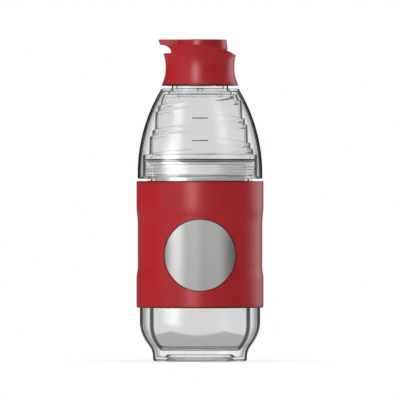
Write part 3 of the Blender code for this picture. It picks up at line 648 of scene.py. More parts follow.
def jacketOutline():
    low, high, radius = roundSpan("tumbler_jacket")
    wall, foot = jacket["wall"], radius - jacket["footInset"]
    curveTop, curveFoot = (radius, jacket["curveTop"]), (foot, jacket["footEdge"])
    outside = ogeePoints(curveTop, curveFoot, jacket["curveSteps"], jacket["curveTurn"])
    inside = insetPoints(outside, wall)
    landEdge = foot - jacket["landWidth"]
    punt, puntTop, turn = landEdge - jacket["puntSlope"], jacket["puntDepth"], jacket["puntRound"]
    corners = [(0, puntTop + wall), (punt - wall * jacket["innerPuntShare"], puntTop + wall, turn)]
    corners += [(landEdge + wall * jacket["innerLandShare"], wall, turn)]
    corners += [(foot - wall * jacket["innerFootShare"], wall, jacket["footRound"])]
    corners += inside[:-1][::-1]
    corners += [(radius - wall, high, jacket["rimRound"]), (radius, high, jacket["rimRound"])]
    corners += outside
    corners += [(foot - jacket["footTuck"], low, jacket["footRound"]), (landEdge, low, turn)]
    corners += [(punt, puntTop, turn), (0, puntTop)]
    return roundOff(corners)


turnedPiece(
    "jacketShell", jacketOutline(), jacket["steps"], jacketPlastic,
    "tumbler", "tumbler_jacket", closed=False,
)

cup = {
    "wall": 1.8 * mm, "floor": 2.0 * mm, "footRadius": 24.9 * mm, "curveTop": 22.7 * mm,
    "flangeThickness": 1.8 * mm, "flangeBlend": 3.0 * mm, "mouthRadius": 33.0 * mm, "mouthWall": 3.0 * mm,
    "mouthHeight": 10.7 * mm, "threadInset": 1.0 * mm, "footRound": 1.6 * mm, "rimRound": 0.9 * mm,
    "flangeRound": 0.5 * mm, "rootRound": 0.6 * mm, "blendRound": 1.0 * mm, "curveSteps": 16, "steps": 168,
}
flangeTop = cupHigh - cup["mouthHeight"]
mouthBore = cup["mouthRadius"] - cup["mouthWall"]


def cupSection(angle):
    mouth, wallOut = cup["mouthRadius"], mouthBore + cup["wall"]
    drop, draw = cup["curveTop"] - cupLow, wallOut - cup["footRadius"]
    bend = (drop ** 2 + draw ** 2) / (2 * draw)
    centre = (wallOut - bend, cup["curveTop"])
    outerEnd = -math.degrees(math.asin(drop / bend))
    floorTop, innerBend = cupLow + cup["floor"], bend - cup["wall"]
    innerEnd = -math.degrees(math.asin((cup["curveTop"] - floorTop) / innerBend))
    inner = arcPoints(centre, innerBend, innerEnd, 0, cup["curveSteps"])
    outer = arcPoints(centre, bend, 0, outerEnd, cup["curveSteps"])
    flangeLow, inset = flangeTop - cup["flangeThickness"], cup["threadInset"]
    corners = [(0, floorTop), (inner[0][0], floorTop, cup["footRound"])] + inner[1:]
    corners += [(mouthBore, cupHigh, cup["rimRound"]), (mouth, cupHigh, cup["rimRound"])]
    corners += threadPoints(mouth, cupHigh - inset, flangeTop + inset, jointThread, angle)
    corners += [(mouth, flangeTop, cup["rootRound"]), (flangeRadius, flangeTop, cup["flangeRound"])]
    corners += [(flangeRadius, flangeLow, cup["flangeRound"]), (mouth, flangeLow, cup["rootRound"])]
    corners += [(wallOut, flangeLow - cup["flangeBlend"], cup["blendRound"])]
    corners += outer[:-1] + [(outer[-1][0], cupLow, cup["footRound"]), (0, cupLow)]
    return roundOff(corners)


turnedPiece(
    "cupShell", cupSection, cup["steps"], cupPlastic,
    "tumbler", "tumbler_liner", closed=False,
)
print("tumbler made")

sleeve = {
    "wall": 1.8 * mm, "waistDepth": 0.8 * mm, "waistAboveHem": 26.0 * mm, "waistBelowTop": 28.0 * mm,
    "lowerBlend": 8.0 * mm, "upperBlend": 13.0 * mm, "hemRound": 1.3 * mm, "topRound": 0.5 * mm,
    "innerRound": 0.4 * mm, "rowInset": 1.0 * mm, "hemInset": 2.0 * mm,
    "windowAboveHem": 33.2 * mm, "windowRadius": 22.8 * mm, "windowRound": 0.45 * mm, "overrun": 5.0 * mm,
    "upperRows": 10, "upperSteps": 12, "waistRows": 30, "lowerSteps": 10, "lowerRows": 12, "innerRows": 50,
    "windowSteps": 192, "steps": 256,
}
windowHeight = sleeveLow + sleeve["windowAboveHem"]
sleeveInner = sleeveRadius - sleeve["wall"]


def sleeveOutline():
    waist, inset = sleeveRadius - sleeve["waistDepth"], sleeve["rowInset"]
    waistTop, waistLow = sleeveHigh - sleeve["waistBelowTop"], sleeveLow + sleeve["waistAboveHem"]
    upperStart, lowerEnd = waistTop + sleeve["upperBlend"], waistLow - sleeve["lowerBlend"]
    upper = ogeePoints((sleeveRadius, upperStart), (waist, waistTop), sleeve["upperSteps"])
    lower = ogeePoints((waist, waistLow), (sleeveRadius, lowerEnd), sleeve["lowerSteps"])
    corners = [(sleeveInner, sleeveHigh, sleeve["topRound"])]
    corners += [(sleeveRadius, sleeveHigh, sleeve["topRound"])]
    corners += straight((sleeveRadius, sleeveHigh - inset), upper[0], sleeve["upperRows"]) + upper[1:]
    corners += straight(upper[-1], lower[0], sleeve["waistRows"]) + lower[1:]
    corners += straight(lower[-1], (sleeveRadius, sleeveLow + sleeve["hemInset"]), sleeve["lowerRows"])
    corners += [(sleeveRadius, sleeveLow, sleeve["hemRound"])]
    corners += [(sleeveInner, sleeveLow, sleeve["innerRound"])]
    innerLow, innerHigh = (sleeveInner, sleeveLow + inset), (sleeveInner, sleeveHigh - inset)
    corners += straight(innerLow, innerHigh, sleeve["innerRows"])
    return roundOff(corners)


windowCut = rodMesh(
    "windowCut", sleeve["windowRadius"], (0, -sleeveRadius - sleeve["overrun"], windowHeight),
    (0, 0, windowHeight), sleeve["windowSteps"])
sleeveMesh = shapedMesh(
    turnedMesh("gripSleeve", sleeveOutline(), sleeve["steps"]), [("DIFFERENCE", windowCut)],
    sleeve["windowRound"], bevelAngle=60)
addPiece("gripSleeve", sleeveMesh, redSilicone, "tumbler", "grip_sleeve", edge=50)

plate = {
    "radius": 22.4 * mm, "thickness": 0.6 * mm, "edgeRound": 0.22 * mm, "innerRound": 0.1 * mm,
    "edgeWidth": 1.0 * mm, "rings": 14, "steps": 144,
}


def plateMesh():  # a disc bent round the tumbler, with a softened edge
    inner, outer = sleeveInner, sleeveInner + plate["thickness"]
    radius, flat = plate["radius"], plate["radius"] - plate["edgeWidth"]
    corners = [(0, outer)] + straight((0, outer), (flat, outer), plate["rings"])
    corners += [(radius, outer, plate["edgeRound"]), (radius, inner, plate["innerRound"])]
    corners += straight((flat, inner), (0, inner), plate["rings"])
    mesh = turnedMesh("windowPlate", roundOff(corners), plate["steps"], closed=False)
    for vertex in mesh.vertices:
        x, z, depth = vertex.co
        vertex.co = (x, -math.sqrt(depth ** 2 - x ** 2), windowHeight + z)
    return mesh


addPiece("windowPlate", plateMesh(), brushedSteel, "tumbler", "window_plate")
print("sleeve and window made")

# Filter

filterRim = {
    "width": 5.4 * mm, "skirtWall": 0.8 * mm, "thickness": 1.2 * mm, "room": 0.4 * mm,
    "topRound": 0.5 * mm, "rootRound": 0.4 * mm, "edgeRound": 0.3 * mm, "steps": 144,
}
rimLow, rimHigh, rimRadius = roundSpan("filter_flange")
seatHeight = rimHigh - filterRim["thickness"]


def rimOutline():
    top, root, edge = filterRim["topRound"], filterRim["rootRound"], filterRim["edgeRound"]
    skirtOut, inner = mouthBore - filterRim["room"], rimRadius - filterRim["width"]
    skirtIn = skirtOut - filterRim["skirtWall"]
    return roundOff([
        (rimRadius, rimHigh, top), (rimRadius, seatHeight, edge), (skirtOut, seatHeight, root),
        (skirtOut, rimLow, edge), (skirtIn, rimLow, edge), (skirtIn, seatHeight, edge),
        (inner, seatHeight, edge), (inner, rimHigh, top),
    ])


filterCone = {
    "sheet": 0.6 * mm, "straightDepth": 11.5 * mm, "baseRadius": 20.6 * mm,
    "kneeRound": 2.0 * mm, "edgeRound": 0.15 * mm, "rows": 8, "steps": 144,
}


def coneOutline():
    low, high, radius = roundSpan("filter_wall")
    knee = seatHeight - filterCone["straightDepth"]
    base, rows = filterCone["baseRadius"], filterCone["rows"]
    bend, edge = filterCone["kneeRound"], filterCone["edgeRound"]
    innerRadius, innerBase = radius - filterCone["sheet"], base - filterCone["sheet"]
    corners = [(radius, high, edge), (radius, knee, bend)]
    corners += straight((radius, knee), (base, low), rows)[2:-1]
    corners += [(base, low, edge), (innerBase, low, edge)]
    corners += straight((innerBase, low), (innerRadius, knee), rows)[1:-2]
    corners += [(innerRadius, knee, bend), (innerRadius, high, edge)]
    return roundOff(corners)


filterBase = {
    "ringWall": 0.6 * mm, "lip": 2.8 * mm, "footRound": 0.5 * mm, "seatRound": 0.3 * mm,
    "edgeRound": 0.2 * mm, "discRound": 0.15 * mm, "discEdge": 0.5 * mm, "rings": 8, "steps": 144,
}


def ringOutline():
    low, high, radius = roundSpan("filter_base_ring")
    wall, edge = filterBase["ringWall"], filterBase["edgeRound"]
    inner, lipTop = radius - wall, low + wall
    lip = inner - filterBase["lip"]
    return roundOff([
        (radius, high, edge), (radius, low, filterBase["footRound"]), (lip, low, edge), (lip, lipTop, edge),
        (inner, lipTop, filterBase["seatRound"]), (inner, high, edge),
    ])


def discOutline():
    low, high, radius = roundSpan("filter_disc")
    flat, edge = radius - filterBase["discEdge"], filterBase["discRound"]
    corners = [(0, high)] + straight((0, high), (flat, high), filterBase["rings"])
    return roundOff(corners + [(radius, high, edge), (radius, low, edge), (flat, low), (0, low)])


for pieceName, section, sizes, material, node, slot, closed in (
    ("filterRim", rimOutline(), filterRim, brightenedFilterSteel, "filter_flange", "brushed_steel", True),
    ("filterCone", coneOutline(), filterCone, etchedSteel, "filter_wall", "steel_mesh", True),
    ("filterBaseRing", ringOutline(), filterBase, brightenedFilterSteel, "filter_base_ring", "brushed_steel", True),
    ("filterDisc", discOutline(), filterBase, etchedSteel, "filter_disc", "steel_mesh", False),
):
    turnedPiece(pieceName, section, sizes["steps"], material, "filter", node, closed)

seal = {"width": 3.0 * mm, "round": 0.35 * mm, "steps": 120}
ringPiece("jointSeal", seal, sealShadeSilicone, "seal", "joint_seal")
print("filter and joint seal made")

# Kettle

kettle = {
    "wall": 1.8 * mm, "wallHeight": 38.0 * mm, "collarWall": 1.5 * mm, "threadRoom": 1.6 * mm,
    "flangeThickness": 1.4 * mm, "shelfWidth": 2.9 * mm, "neckRadius": 17.8 * mm, "neckWall": 3.3 * mm,
    "bossWidth": 2.2 * mm, "bossHeight": 1.4 * mm, "crownHeight": 8.0 * mm, "crownDrop": 1.8 * mm,
    "topRadius": 22.5 * mm, "pitch": 15.3 * mm, "land": 3.8 * mm, "step": 1.45 * mm,
    "sideLedge": 0.5 * mm, "frontLedge": 1.4 * mm, "innerSoftening": 0.3 * mm,
    "stepShares": (-0.75, 0.25, -0.25, 0.75), "neckInset": 1.0 * mm, "collarInset": 0.6 * mm,
    "lipRound": 0.7 * mm, "rootRound": 0.5 * mm, "edgeRound": 0.3 * mm, "shelfRound": 0.6 * mm,
    "innerRound": 0.4 * mm, "ceilingRound": 0.8 * mm, "rows": 200, "steps": 180,
}
neckRadius = kettle["neckRadius"]
neckBore = neckRadius - kettle["neckWall"]
wallTop = shelfTop + kettle["wallHeight"]
collarIn = cup["mouthRadius"] + kettle["threadRoom"]
collarOut = collarIn + kettle["collarWall"]


def coneRadius(height):  # the cone that the steps follow, drawn in under the shoulder
    foot = collarOut - kettle["shelfWidth"]
    lean = (foot - kettle["topRadius"] - kettle["crownDrop"]) / kettle["wallHeight"]
    crown = max(0, height - wallTop + kettle["crownHeight"]) / kettle["crownHeight"]
    return foot - lean * (height - shelfTop) - kettle["crownDrop"] * crown ** 2


# Two small steps a turn, climbing to the right: crisp at the sides, and soft at the front and back
def wallRadius(angle, height, softening=0.0):
    ledge = kettle["sideLedge"] + softening
    ledge += (kettle["frontLedge"] - kettle["sideLedge"]) * math.sin(angle) ** 2
    first, second, third, fourth = kettle["stepShares"]
    pitch, land = kettle["pitch"], kettle["land"]
    below = (wallTop + pitch * angle / math.tau - height + ledge / 2) % pitch - ledge / 2
    if below < ledge / 2:
        share = first + (second - first) * smooth(below / ledge + 0.5)
    elif below < land - ledge / 2:
        share = second + (third - second) * (below - ledge / 2) / (land - ledge)
    elif below < land + ledge / 2:
        share = third + (fourth - third) * smooth((below - land) / ledge + 0.5)
    else:
        share = fourth + (first - fourth) * (below - land - ledge / 2) / (pitch - land - ledge)
    return coneRadius(height) + share * kettle["step"]


def kettleSection(angle):
    wall, softening, rows = kettle["wall"], kettle["innerSoftening"], kettle["rows"]
    outside, inside = [], []
    for step in range(rows + 1):
        height = wallTop + (shelfTop - wallTop) * (step / rows)
        outside.append((wallRadius(angle, height), height))
        height = wallTop - wall + (shelfLow - wallTop + wall) * (step / rows)
        inside.append((wallRadius(angle, height + wall, softening) - wall, height))
    bossRadius, bossTop = neckRadius + kettle["bossWidth"], wallTop + kettle["bossHeight"]
    flangeUpper = kettleLow + kettle["flangeThickness"]
    lip, root = kettle["lipRound"], kettle["rootRound"]
    edge, turn = kettle["edgeRound"], kettle["innerRound"]
    neckEnds = neckTop - kettle["neckInset"], bossTop + kettle["neckInset"]
    collarEnds = kettleLow + kettle["collarInset"], shelfLow - kettle["collarInset"]
    corners = [(neckBore, neckTop, lip), (neckRadius, neckTop, lip)]
    corners += threadPoints(neckRadius, *neckEnds, capThread, angle)
    corners += [(neckRadius, bossTop, root), (bossRadius, bossTop, edge), (bossRadius, wallTop, root)]
    corners += outside
    corners += [(collarOut, shelfTop, kettle["shelfRound"]), (collarOut, flangeUpper, root)]
    corners += [(kettleWide, flangeUpper, edge), (kettleWide, kettleLow, edge), (collarIn, kettleLow, turn)]
    corners += threadPoints(collarIn, *collarEnds, jointThread, angle, ridges["nutPhase"], inwards=True)
    corners += [(collarIn, shelfLow, turn)]
    corners += inside[::-1]
    corners += [(neckBore, wallTop - wall, kettle["ceilingRound"])]
    return roundOff(corners)


turnedPiece(
    "kettleVessel", kettleSection, kettle["steps"], vesselPlastic,
    "kettle", "kettle_liner", edge=60,
)

dome = {
    "wall": 1.8 * mm, "straight": 3.2 * mm, "shoulderRadius": 24.3 * mm, "shoulderThickness": 1.8 * mm,
    "neckGap": 0.4 * mm, "shoulderRound": 0.5 * mm, "rimRound": 0.6 * mm, "holeRound": 0.3 * mm,
    "plugHole": 2.2 * mm, "cutBelow": 3.0 * mm, "cutAbove": 2.0 * mm, "curveSteps": 30, "steps": 168,
}
plug = {"round": 0.35 * mm, "steps": 48}
domeLow, domeHigh, domeRadius = roundSpan("kettle_dome")


def domeOutline():
    arcFoot, ceiling = domeLow + dome["straight"], domeHigh - dome["shoulderThickness"]
    rise, draw = domeHigh - arcFoot, domeRadius - dome["shoulderRadius"]
    bend = (rise ** 2 + draw ** 2) / (2 * draw)
    centre = (domeRadius - bend, arcFoot)
    innerBend = bend - dome["wall"]
    outerEnd = math.degrees(math.asin(rise / bend))
    innerEnd = math.degrees(math.asin((ceiling - arcFoot) / innerBend))
    outer = arcPoints(centre, bend, outerEnd, 0, dome["curveSteps"])
    inner = arcPoints(centre, innerBend, 0, innerEnd, dome["curveSteps"])
    hole, rim, turn = neckRadius + dome["neckGap"], dome["rimRound"], dome["holeRound"]
    corners = [(hole, domeHigh, turn), (outer[0][0], domeHigh, dome["shoulderRound"])] + outer[1:]
    corners += [(domeRadius, domeLow, rim), (domeRadius - dome["wall"], domeLow, rim)]
    corners += inner[:-1] + [(inner[-1][0], ceiling, rim), (hole, ceiling, turn)]
    return roundOff(corners)


plugLow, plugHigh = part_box("shoulder_plug")
plugRadius, plugY = (plugHigh.x - plugLow.x) / 2, ((plugLow + plugHigh) / 2).y
plugHole = rodMesh(
    "plugHole", dome["plugHole"], (0, plugY, domeHigh - dome["cutBelow"]),
    (0, plugY, domeHigh + dome["cutAbove"]), plug["steps"])
domeMesh = shapedMesh(turnedMesh("kettleDome", domeOutline(), dome["steps"]), [("DIFFERENCE", plugHole)])
addPiece("kettleDome", domeMesh, clearPlastic, "kettle", "kettle_dome")
plugMesh = rodMesh(
    "shoulderPlug", plugRadius, (0, plugY, plugLow.z), (0, plugY, plugHigh.z), plug["steps"], plug["round"])
addPiece("shoulderPlug", plugMesh, plugPlastic, "kettle", "shoulder_plug")

marks = {
    "heights": (152.8 * mm, 138.6 * mm), "width": 10 * mm, "height": 0.7 * mm, "proud": 0.06 * mm,
    "thickness": 0.05 * mm, "wallNearby": 30 * mm, "feel": 0.2 * mm, "steps": 24,
}


def markMesh(name, height):  # a printed bar that follows the vessel's wall
    rows = []
    for level in (-0.5, 0.5):
        row = []
        for step in range(marks["steps"] + 1):
            x = marks["width"] * (step / marks["steps"] - 0.5)
            z = height + level * marks["height"]
            angle = math.atan2(-1, x / marks["wallNearby"]) % math.tau
            wall = max(wallRadius(angle, z + side * marks["feel"]) for side in (-1, 0, 1))
            radius = wall + marks["proud"]
            row.append((x, -math.sqrt(radius ** 2 - x ** 2), z))
        rows.append(row)
    made = bmesh.new()
    grid = []
    for depth in (0, -marks["thickness"]):
        grid.append([[made.verts.new((x, y + depth, z)) for x, y, z in row] for row in rows])
    for step in range(marks["steps"]):
        for layer in grid:
            made.faces.new((layer[0][step], layer[0][step + 1], layer[1][step + 1], layer[1][step]))
        for level in (0, 1):
            near, far = grid[0][level], grid[1][level]
            made.faces.new((near[step], near[step + 1], far[step + 1], far[step]))
    for end in (0, marks["steps"]):
        made.faces.new((grid[0][0][end], grid[0][1][end], grid[1][1][end], grid[1][0][end]))
    return meshFrom(made, name)


for number, markHeight in enumerate(marks["heights"], 1):
    addPiece(f"volumeMark{number}", markMesh(f"volumeMark{number}", markHeight), markInk, "kettle")

gasket = {"width": 2.9 * mm, "round": 0.4 * mm, "steps": 120}
ringPiece("capGasket", gasket, paleSilicone, "gasket", "cap_gasket")
print("kettle made")

# Cap

cap = {
    "boreRadius": 19.3 * mm, "waistRadius": 21.6 * mm, "waistHeight": 185.0 * mm, "waistArc": 26.0 * mm,
    "flareStart": 9.0 * mm, "footRound": 0.7 * mm, "rimFall": 43.0 * mm, "ceiling": 2.0 * mm,
    "ceilingLow": 188.0 * mm, "recessRadius": 18.5 * mm, "rimDish": 0.6 * mm, "edgeRound": 0.22 * mm,
    "boreRound": 0.5 * mm, "cornerRound": 0.6 * mm, "holeRound": 0.3 * mm,
    "threadFoot": 0.7 * mm, "threadTop": 1.0 * mm,
    "notchLeft": 17.7 * mm, "notchFillet": 1.7 * mm, "notchHalf": 10.0 * mm, "notchAboveWaist": 8.7 * mm,
    "pocketX": -12.0 * mm, "slotX": 17.0 * mm, "slotHalf": 5.0 * mm, "slotDrop": 1.9 * mm,
    "slotReach": 2.6 * mm, "pinRoom": 0.9 * mm, "pinEndRoom": 0.3 * mm, "overrun": 3.0 * mm,
    "cutHalf": 45.0 * mm, "rows": 40, "fallSteps": 40, "filletSteps": 10, "pinSteps": 24, "steps": 180,
}
pinLow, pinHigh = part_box("hinge_pin")
hingePoint = (pinLow + pinHigh) / 2
notchFloor = cap["waistHeight"] + cap["notchAboveWaist"]
cutReach, cutTop = capWide + cap["overrun"], rimTop + cap["overrun"]


def capRadius(height):  # waisted outside, then a straight flare
    fromWaist = min(height - cap["waistHeight"], cap["flareStart"])
    bow = math.sqrt(cap["waistArc"] ** 2 - fromWaist ** 2)
    slope = cap["flareStart"] / math.sqrt(cap["waistArc"] ** 2 - cap["flareStart"] ** 2)
    flare = slope * max(0, height - cap["waistHeight"] - cap["flareStart"])
    return cap["waistRadius"] + cap["waistArc"] - bow + flare


def capSection(angle):
    bore, recess, ceilingLow = cap["boreRadius"], cap["recessRadius"], cap["ceilingLow"]
    ceilingTop = ceilingLow + cap["ceiling"]
    ends = capLow + cap["threadFoot"], ceilingLow - cap["threadTop"]
    corners = [(recess, rimTop - cap["rimDish"]), (capRadius(rimTop), rimTop)]
    for step in range(1, cap["rows"]):
        height = rimTop + (capLow - rimTop) * step / cap["rows"]
        corners.append((capRadius(height), height))
    corners += [(capRadius(capLow), capLow, cap["footRound"]), (bore, capLow, cap["boreRound"])]
    corners += threadPoints(bore, *ends, capThread, angle, ridges["nutPhase"], inwards=True)
    corners += [(bore, ceilingLow, cap["cornerRound"]), (neckBore, ceilingLow, cap["holeRound"])]
    corners += [(neckBore, ceilingTop, cap["holeRound"]), (recess, ceilingTop, cap["cornerRound"])]
    return roundOff(corners)


def rimFallOutline():  # what is cut off above the rim: level at the middle, falling towards the hinge
    end = 90 - math.degrees(math.asin(cutReach / cap["rimFall"]))
    outline = arcPoints((0, rimTop - cap["rimFall"]), cap["rimFall"], 90, end, cap["fallSteps"])
    return outline + [(cutReach, cutTop), (0, cutTop)]


def notchOutline():  # the open step beside the thumb tab
    centre = (-cap["notchLeft"] - cap["notchFillet"], notchFloor + cap["notchFillet"])
    outline = [(-cutReach, cutTop), (-cutReach, notchFloor)]
    outline += arcPoints(centre, cap["notchFillet"], -90, 0, cap["filletSteps"])
    return outline + [(-cap["notchLeft"], cutTop)]


def hingeRod(name, radius, ends, steps, reach=0):  # a rod along the lid's hinge, between two places on it
    places = [(hingePoint.x, y, hingePoint.z) for y in ends]
    return rodMesh(name, radius, *places, steps, reach)


def capMesh():
    pocketLow = (-cutReach, -cap["notchHalf"], notchFloor)
    pocketHigh = (cap["pocketX"], cap["notchHalf"], cutTop)
    slotLow = (cap["slotX"], -cap["slotHalf"], hingePoint.z - cap["slotDrop"])
    slotHigh = (hingePoint.x + cap["slotReach"], cap["slotHalf"], cutTop)
    pinEnds = pinLow.y - cap["pinEndRoom"], pinHigh.y + cap["pinEndRoom"]
    cuts = (
        prismMesh("rimFall", rimFallOutline(), cap["cutHalf"]),
        prismMesh("notch", notchOutline(), cap["cutHalf"]),
        boxMesh("pocket", pocketLow, pocketHigh),
        boxMesh("slot", slotLow, slotHigh),
        hingeRod("pinHole", cap["pinRoom"], pinEnds, cap["pinSteps"]),
    )
    shell = turnedMesh("capShell", capSection, cap["steps"])
    return shapedMesh(shell, [("DIFFERENCE", cut) for cut in cuts], cap["edgeRound"], bevelAngle=42)


addPiece("capShell", capMesh(), redPlastic, "cap", "cap_shell", edge=50)
print("cap made")

insert = {
    "deckSheet": 1.9 * mm, "deckThickness": 2.4 * mm, "skirtWall": 1.2 * mm, "lip": 0.4 * mm,
    "ring": 1.3 * mm, "boreGap": 0.6 * mm, "ringGap": 0.3 * mm, "nozzleX": -8.6 * mm,
    "nozzleFoot": 5.0 * mm, "nozzleTip": 3.2 * mm, "nozzleBore": 2.1 * mm, "nozzleHeight": 4.5 * mm,
    "nozzleDraw": 0.9 * mm, "nozzleBend": 1.0 * mm, "nozzleFlare": 0.6 * mm, "flareRound": 0.5 * mm,
    "ventX": 9.0 * mm, "ventRadius": 1.8 * mm, "ventBore": 0.9 * mm, "ventHeight": 2.7 * mm,
    "ventRound": 0.3 * mm, "deckRound": 0.4 * mm, "skirtRound": 0.2 * mm, "lipRound": 0.1 * mm,
    "edgeRound": 0.25 * mm, "overrun": 2.0 * mm, "nozzleSteps": 72, "ventSteps": 48, "ringSteps": 120,
    "ringArcSteps": 16, "steps": 144,
}
insertLow, insertHigh, deckRadius = roundSpan("pour_insert")
deckTop = insertHigh - insert["nozzleHeight"]
deckLow = deckTop - insert["deckThickness"]
skirtOut = neckBore - insert["boreGap"] - insert["ring"]


def insertMesh():
    lipTop, lipOut = insertLow + insert["lip"], skirtOut + insert["ring"]
    ceiling, skirtIn = deckTop - insert["deckSheet"], skirtOut - insert["skirtWall"]
    root, ventTop = (ceiling + deckTop) / 2, deckTop + insert["ventHeight"]
    foot, vent, bend = insert["nozzleFoot"], insert["ventRadius"], insert["nozzleBend"]
    deckRound, skirtRound, lipRound = insert["deckRound"], insert["skirtRound"], insert["lipRound"]
    deck = roundOff([
        (0, deckTop), (deckRadius, deckTop, deckRound), (deckRadius, deckLow, skirtRound),
        (skirtOut, deckLow, skirtRound), (skirtOut, lipTop, lipRound), (lipOut, lipTop, lipRound),
        (lipOut, insertLow, skirtRound), (skirtIn, insertLow, skirtRound), (skirtIn, ceiling, deckRound),
        (0, ceiling),
    ])
    nozzle = roundOff([
        (0, insertHigh), (insert["nozzleTip"], insertHigh, deckRound),
        (foot - insert["nozzleDraw"], deckTop + bend, bend),
        (foot + insert["nozzleFlare"], deckTop, insert["flareRound"]), (foot, root), (0, root),
    ])
    chimney = roundOff([(0, ventTop), (vent, ventTop, insert["ventRound"]), (vent, root), (0, root)])
    nozzleMesh = turnedMesh("nozzle", nozzle, insert["nozzleSteps"], closed=False)
    ventMesh = turnedMesh("vent", chimney, insert["ventSteps"], closed=False)
    steps = [
        ("UNION", shiftMesh(nozzleMesh, (insert["nozzleX"], 0, 0))),
        ("UNION", shiftMesh(ventMesh, (insert["ventX"], 0, 0))),
    ]
    for x, radius in ((insert["nozzleX"], insert["nozzleBore"]), (insert["ventX"], insert["ventBore"])):
        low, high = (x, 0, ceiling - insert["overrun"]), (x, 0, insertHigh + insert["overrun"])
        steps.append(("DIFFERENCE", rodMesh("bore", radius, low, high, insert["ventSteps"])))
    mesh = turnedMesh("pourInsert", deck, insert["steps"], closed=False)
    return shapedMesh(mesh, steps, insert["edgeRound"], bevelAngle=55)


def insertRingOutline():  # a round cord, a little out from the skirt
    low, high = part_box("insert_ring")
    half = insert["ring"] / 2
    centre = (skirtOut + insert["ringGap"] + half, (low.z + high.z) / 2)
    return arcPoints(centre, half, 360, 0, insert["ringArcSteps"])[:-1]


addPiece("pourInsert", insertMesh(), insertPlastic, "cap", "pour_insert", edge=50)
turnedPiece(
    "insertRing", insertRingOutline(), insert["ringSteps"], paleSilicone,
    "cap", "insert_ring",
)

pin = {"round": 0.2 * mm, "steps": 32}
pinRadius = (pinHigh.z - pinLow.z) / 2
pinMesh = hingeRod("hingePin", pinRadius, (pinLow.y, pinHigh.y), pin["steps"], pin["round"])
addPiece("hingePin", pinMesh, brushedSteel, "cap", "hinge_pin")
print("pour insert made")

# Flip lid

lid = {
    "skirtRadius": 17.0 * mm, "wall": 1.4 * mm, "edgeRadius": 17.4 * mm, "topRadius": 16.7 * mm,
    "height": 9.1 * mm, "ceiling": 1.8 * mm, "edgeAboveSkirt": 3.1 * mm, "edgeStep": 0.4 * mm,
    "topRound": 0.5 * mm, "rimRound": 0.3 * mm, "stepRound": 0.2 * mm, "ceilingRound": 0.6 * mm,
    "edgeRound": 0.22 * mm,
    "tabThickness": 3.2 * mm, "tabRoot": 1.3 * mm, "tabFloorGap": 1.0 * mm, "tabHalf": 9.4 * mm,
    "tabLeft": -30.0 * mm, "tabRight": -8.0 * mm, "overrun": 2.0 * mm, "rootShare": 0.75,
    "knuckleRadius": 1.5 * mm, "knuckleHalf": 4.6 * mm, "knuckleRise": 0.4 * mm, "knuckleArc": (70, -180),
    "boreHalf": 8.0 * mm, "stopperGap": 0.3 * mm, "bossWall": 1.0 * mm, "bossDepth": 2.0 * mm,
    "bossSteps": 64, "arcSteps": 30, "hollowSteps": 28, "tipSteps": 4, "steps": 180,
}
stoppers = {"spoutRadius": 4.0 * mm, "ventRadius": 2.2 * mm, "round": 0.5 * mm, "steps": 64}
lidBottom = lidHigh - lid["height"]
lidCeiling = lidHigh - lid["ceiling"]


def bossMesh(radius, x):  # the ring that holds a stopper under the lid
    inner = radius + lid["stopperGap"]
    outer, rim = inner + lid["bossWall"], lid["rimRound"]
    low, high = lidCeiling - lid["bossDepth"], lidCeiling + lid["ceiling"] / 2
    section = roundOff([(outer, high), (outer, low, rim), (inner, low, rim), (inner, high)])
    return shiftMesh(turnedMesh("boss", section, lid["bossSteps"]), (x, 0, 0))


def tabMesh(root):  # a sector of the cap's flare, hollowed below for the thumb
    underside = lidHigh - lid["tabThickness"]
    foot = notchFloor + lid["tabFloorGap"]
    top, tip = (capRadius(lidHigh), lidHigh), (capRadius(underside), underside)
    depth = tip[0] - lid["skirtRadius"] - lid["tabRoot"]
    outline = [(*top, lid["rimRound"])] + straight(top, tip, lid["tipSteps"])[:-1]
    for turn, rise in arcPoints((0, 0), 1, 90, 180, lid["hollowSteps"]):
        outline.append((tip[0] + turn * depth, foot + rise * (underside - foot)))
    section = roundOff(outline + [(root, foot), (root, lidHigh)])
    sectorLow = (lid["tabLeft"], -lid["tabHalf"], foot - lid["overrun"])
    sectorHigh = (lid["tabRight"], lid["tabHalf"], lidHigh + lid["overrun"])
    sector = boxMesh("sector", sectorLow, sectorHigh)
    return shapedMesh(turnedMesh("tab", section, lid["steps"]), [("INTERSECT", sector)])


def lidMesh():
    skirt, rim = lid["skirtRadius"], lid["rimRound"]
    edgeHeight, inner = lidBottom + lid["edgeAboveSkirt"], skirt - lid["wall"]
    outline = roundOff([
        (0, lidHigh), (lid["topRadius"], lidHigh, lid["topRound"]), (lid["edgeRadius"], edgeHeight, rim),
        (skirt, edgeHeight - lid["edgeStep"], lid["stepRound"]), (skirt, lidBottom, rim),
        (inner, lidBottom, rim), (inner, lidCeiling, lid["ceilingRound"]), (0, lidCeiling),
    ])
    root, bend = skirt - lid["wall"] * lid["rootShare"], lid["knuckleRadius"]
    shoulder = hingePoint.z + bend + lid["knuckleRise"]
    knuckle = [(root, lidBottom), (root, shoulder), (skirt, shoulder)]
    knuckle += arcPoints((hingePoint.x, hingePoint.z), bend, *lid["knuckleArc"], lid["arcSteps"])
    knuckle += [(skirt, lidBottom)]
    boreEnds = -lid["boreHalf"], lid["boreHalf"]
    steps = [
        ("UNION", tabMesh(root)),
        ("UNION", prismMesh("knuckle", knuckle, lid["knuckleHalf"])),
        ("UNION", bossMesh(stoppers["spoutRadius"], insert["nozzleX"])),
        ("UNION", bossMesh(stoppers["ventRadius"], insert["ventX"])),
        ("DIFFERENCE", hingeRod("lidBore", cap["pinRoom"], boreEnds, cap["pinSteps"])),
    ]
    mesh = turnedMesh("flipLid", outline, lid["steps"], closed=False)
    return shapedMesh(mesh, steps, lid["edgeRound"], bevelAngle=42)


addPiece("flipLid", lidMesh(), redPlastic, "lid", "flip_lid", edge=50)

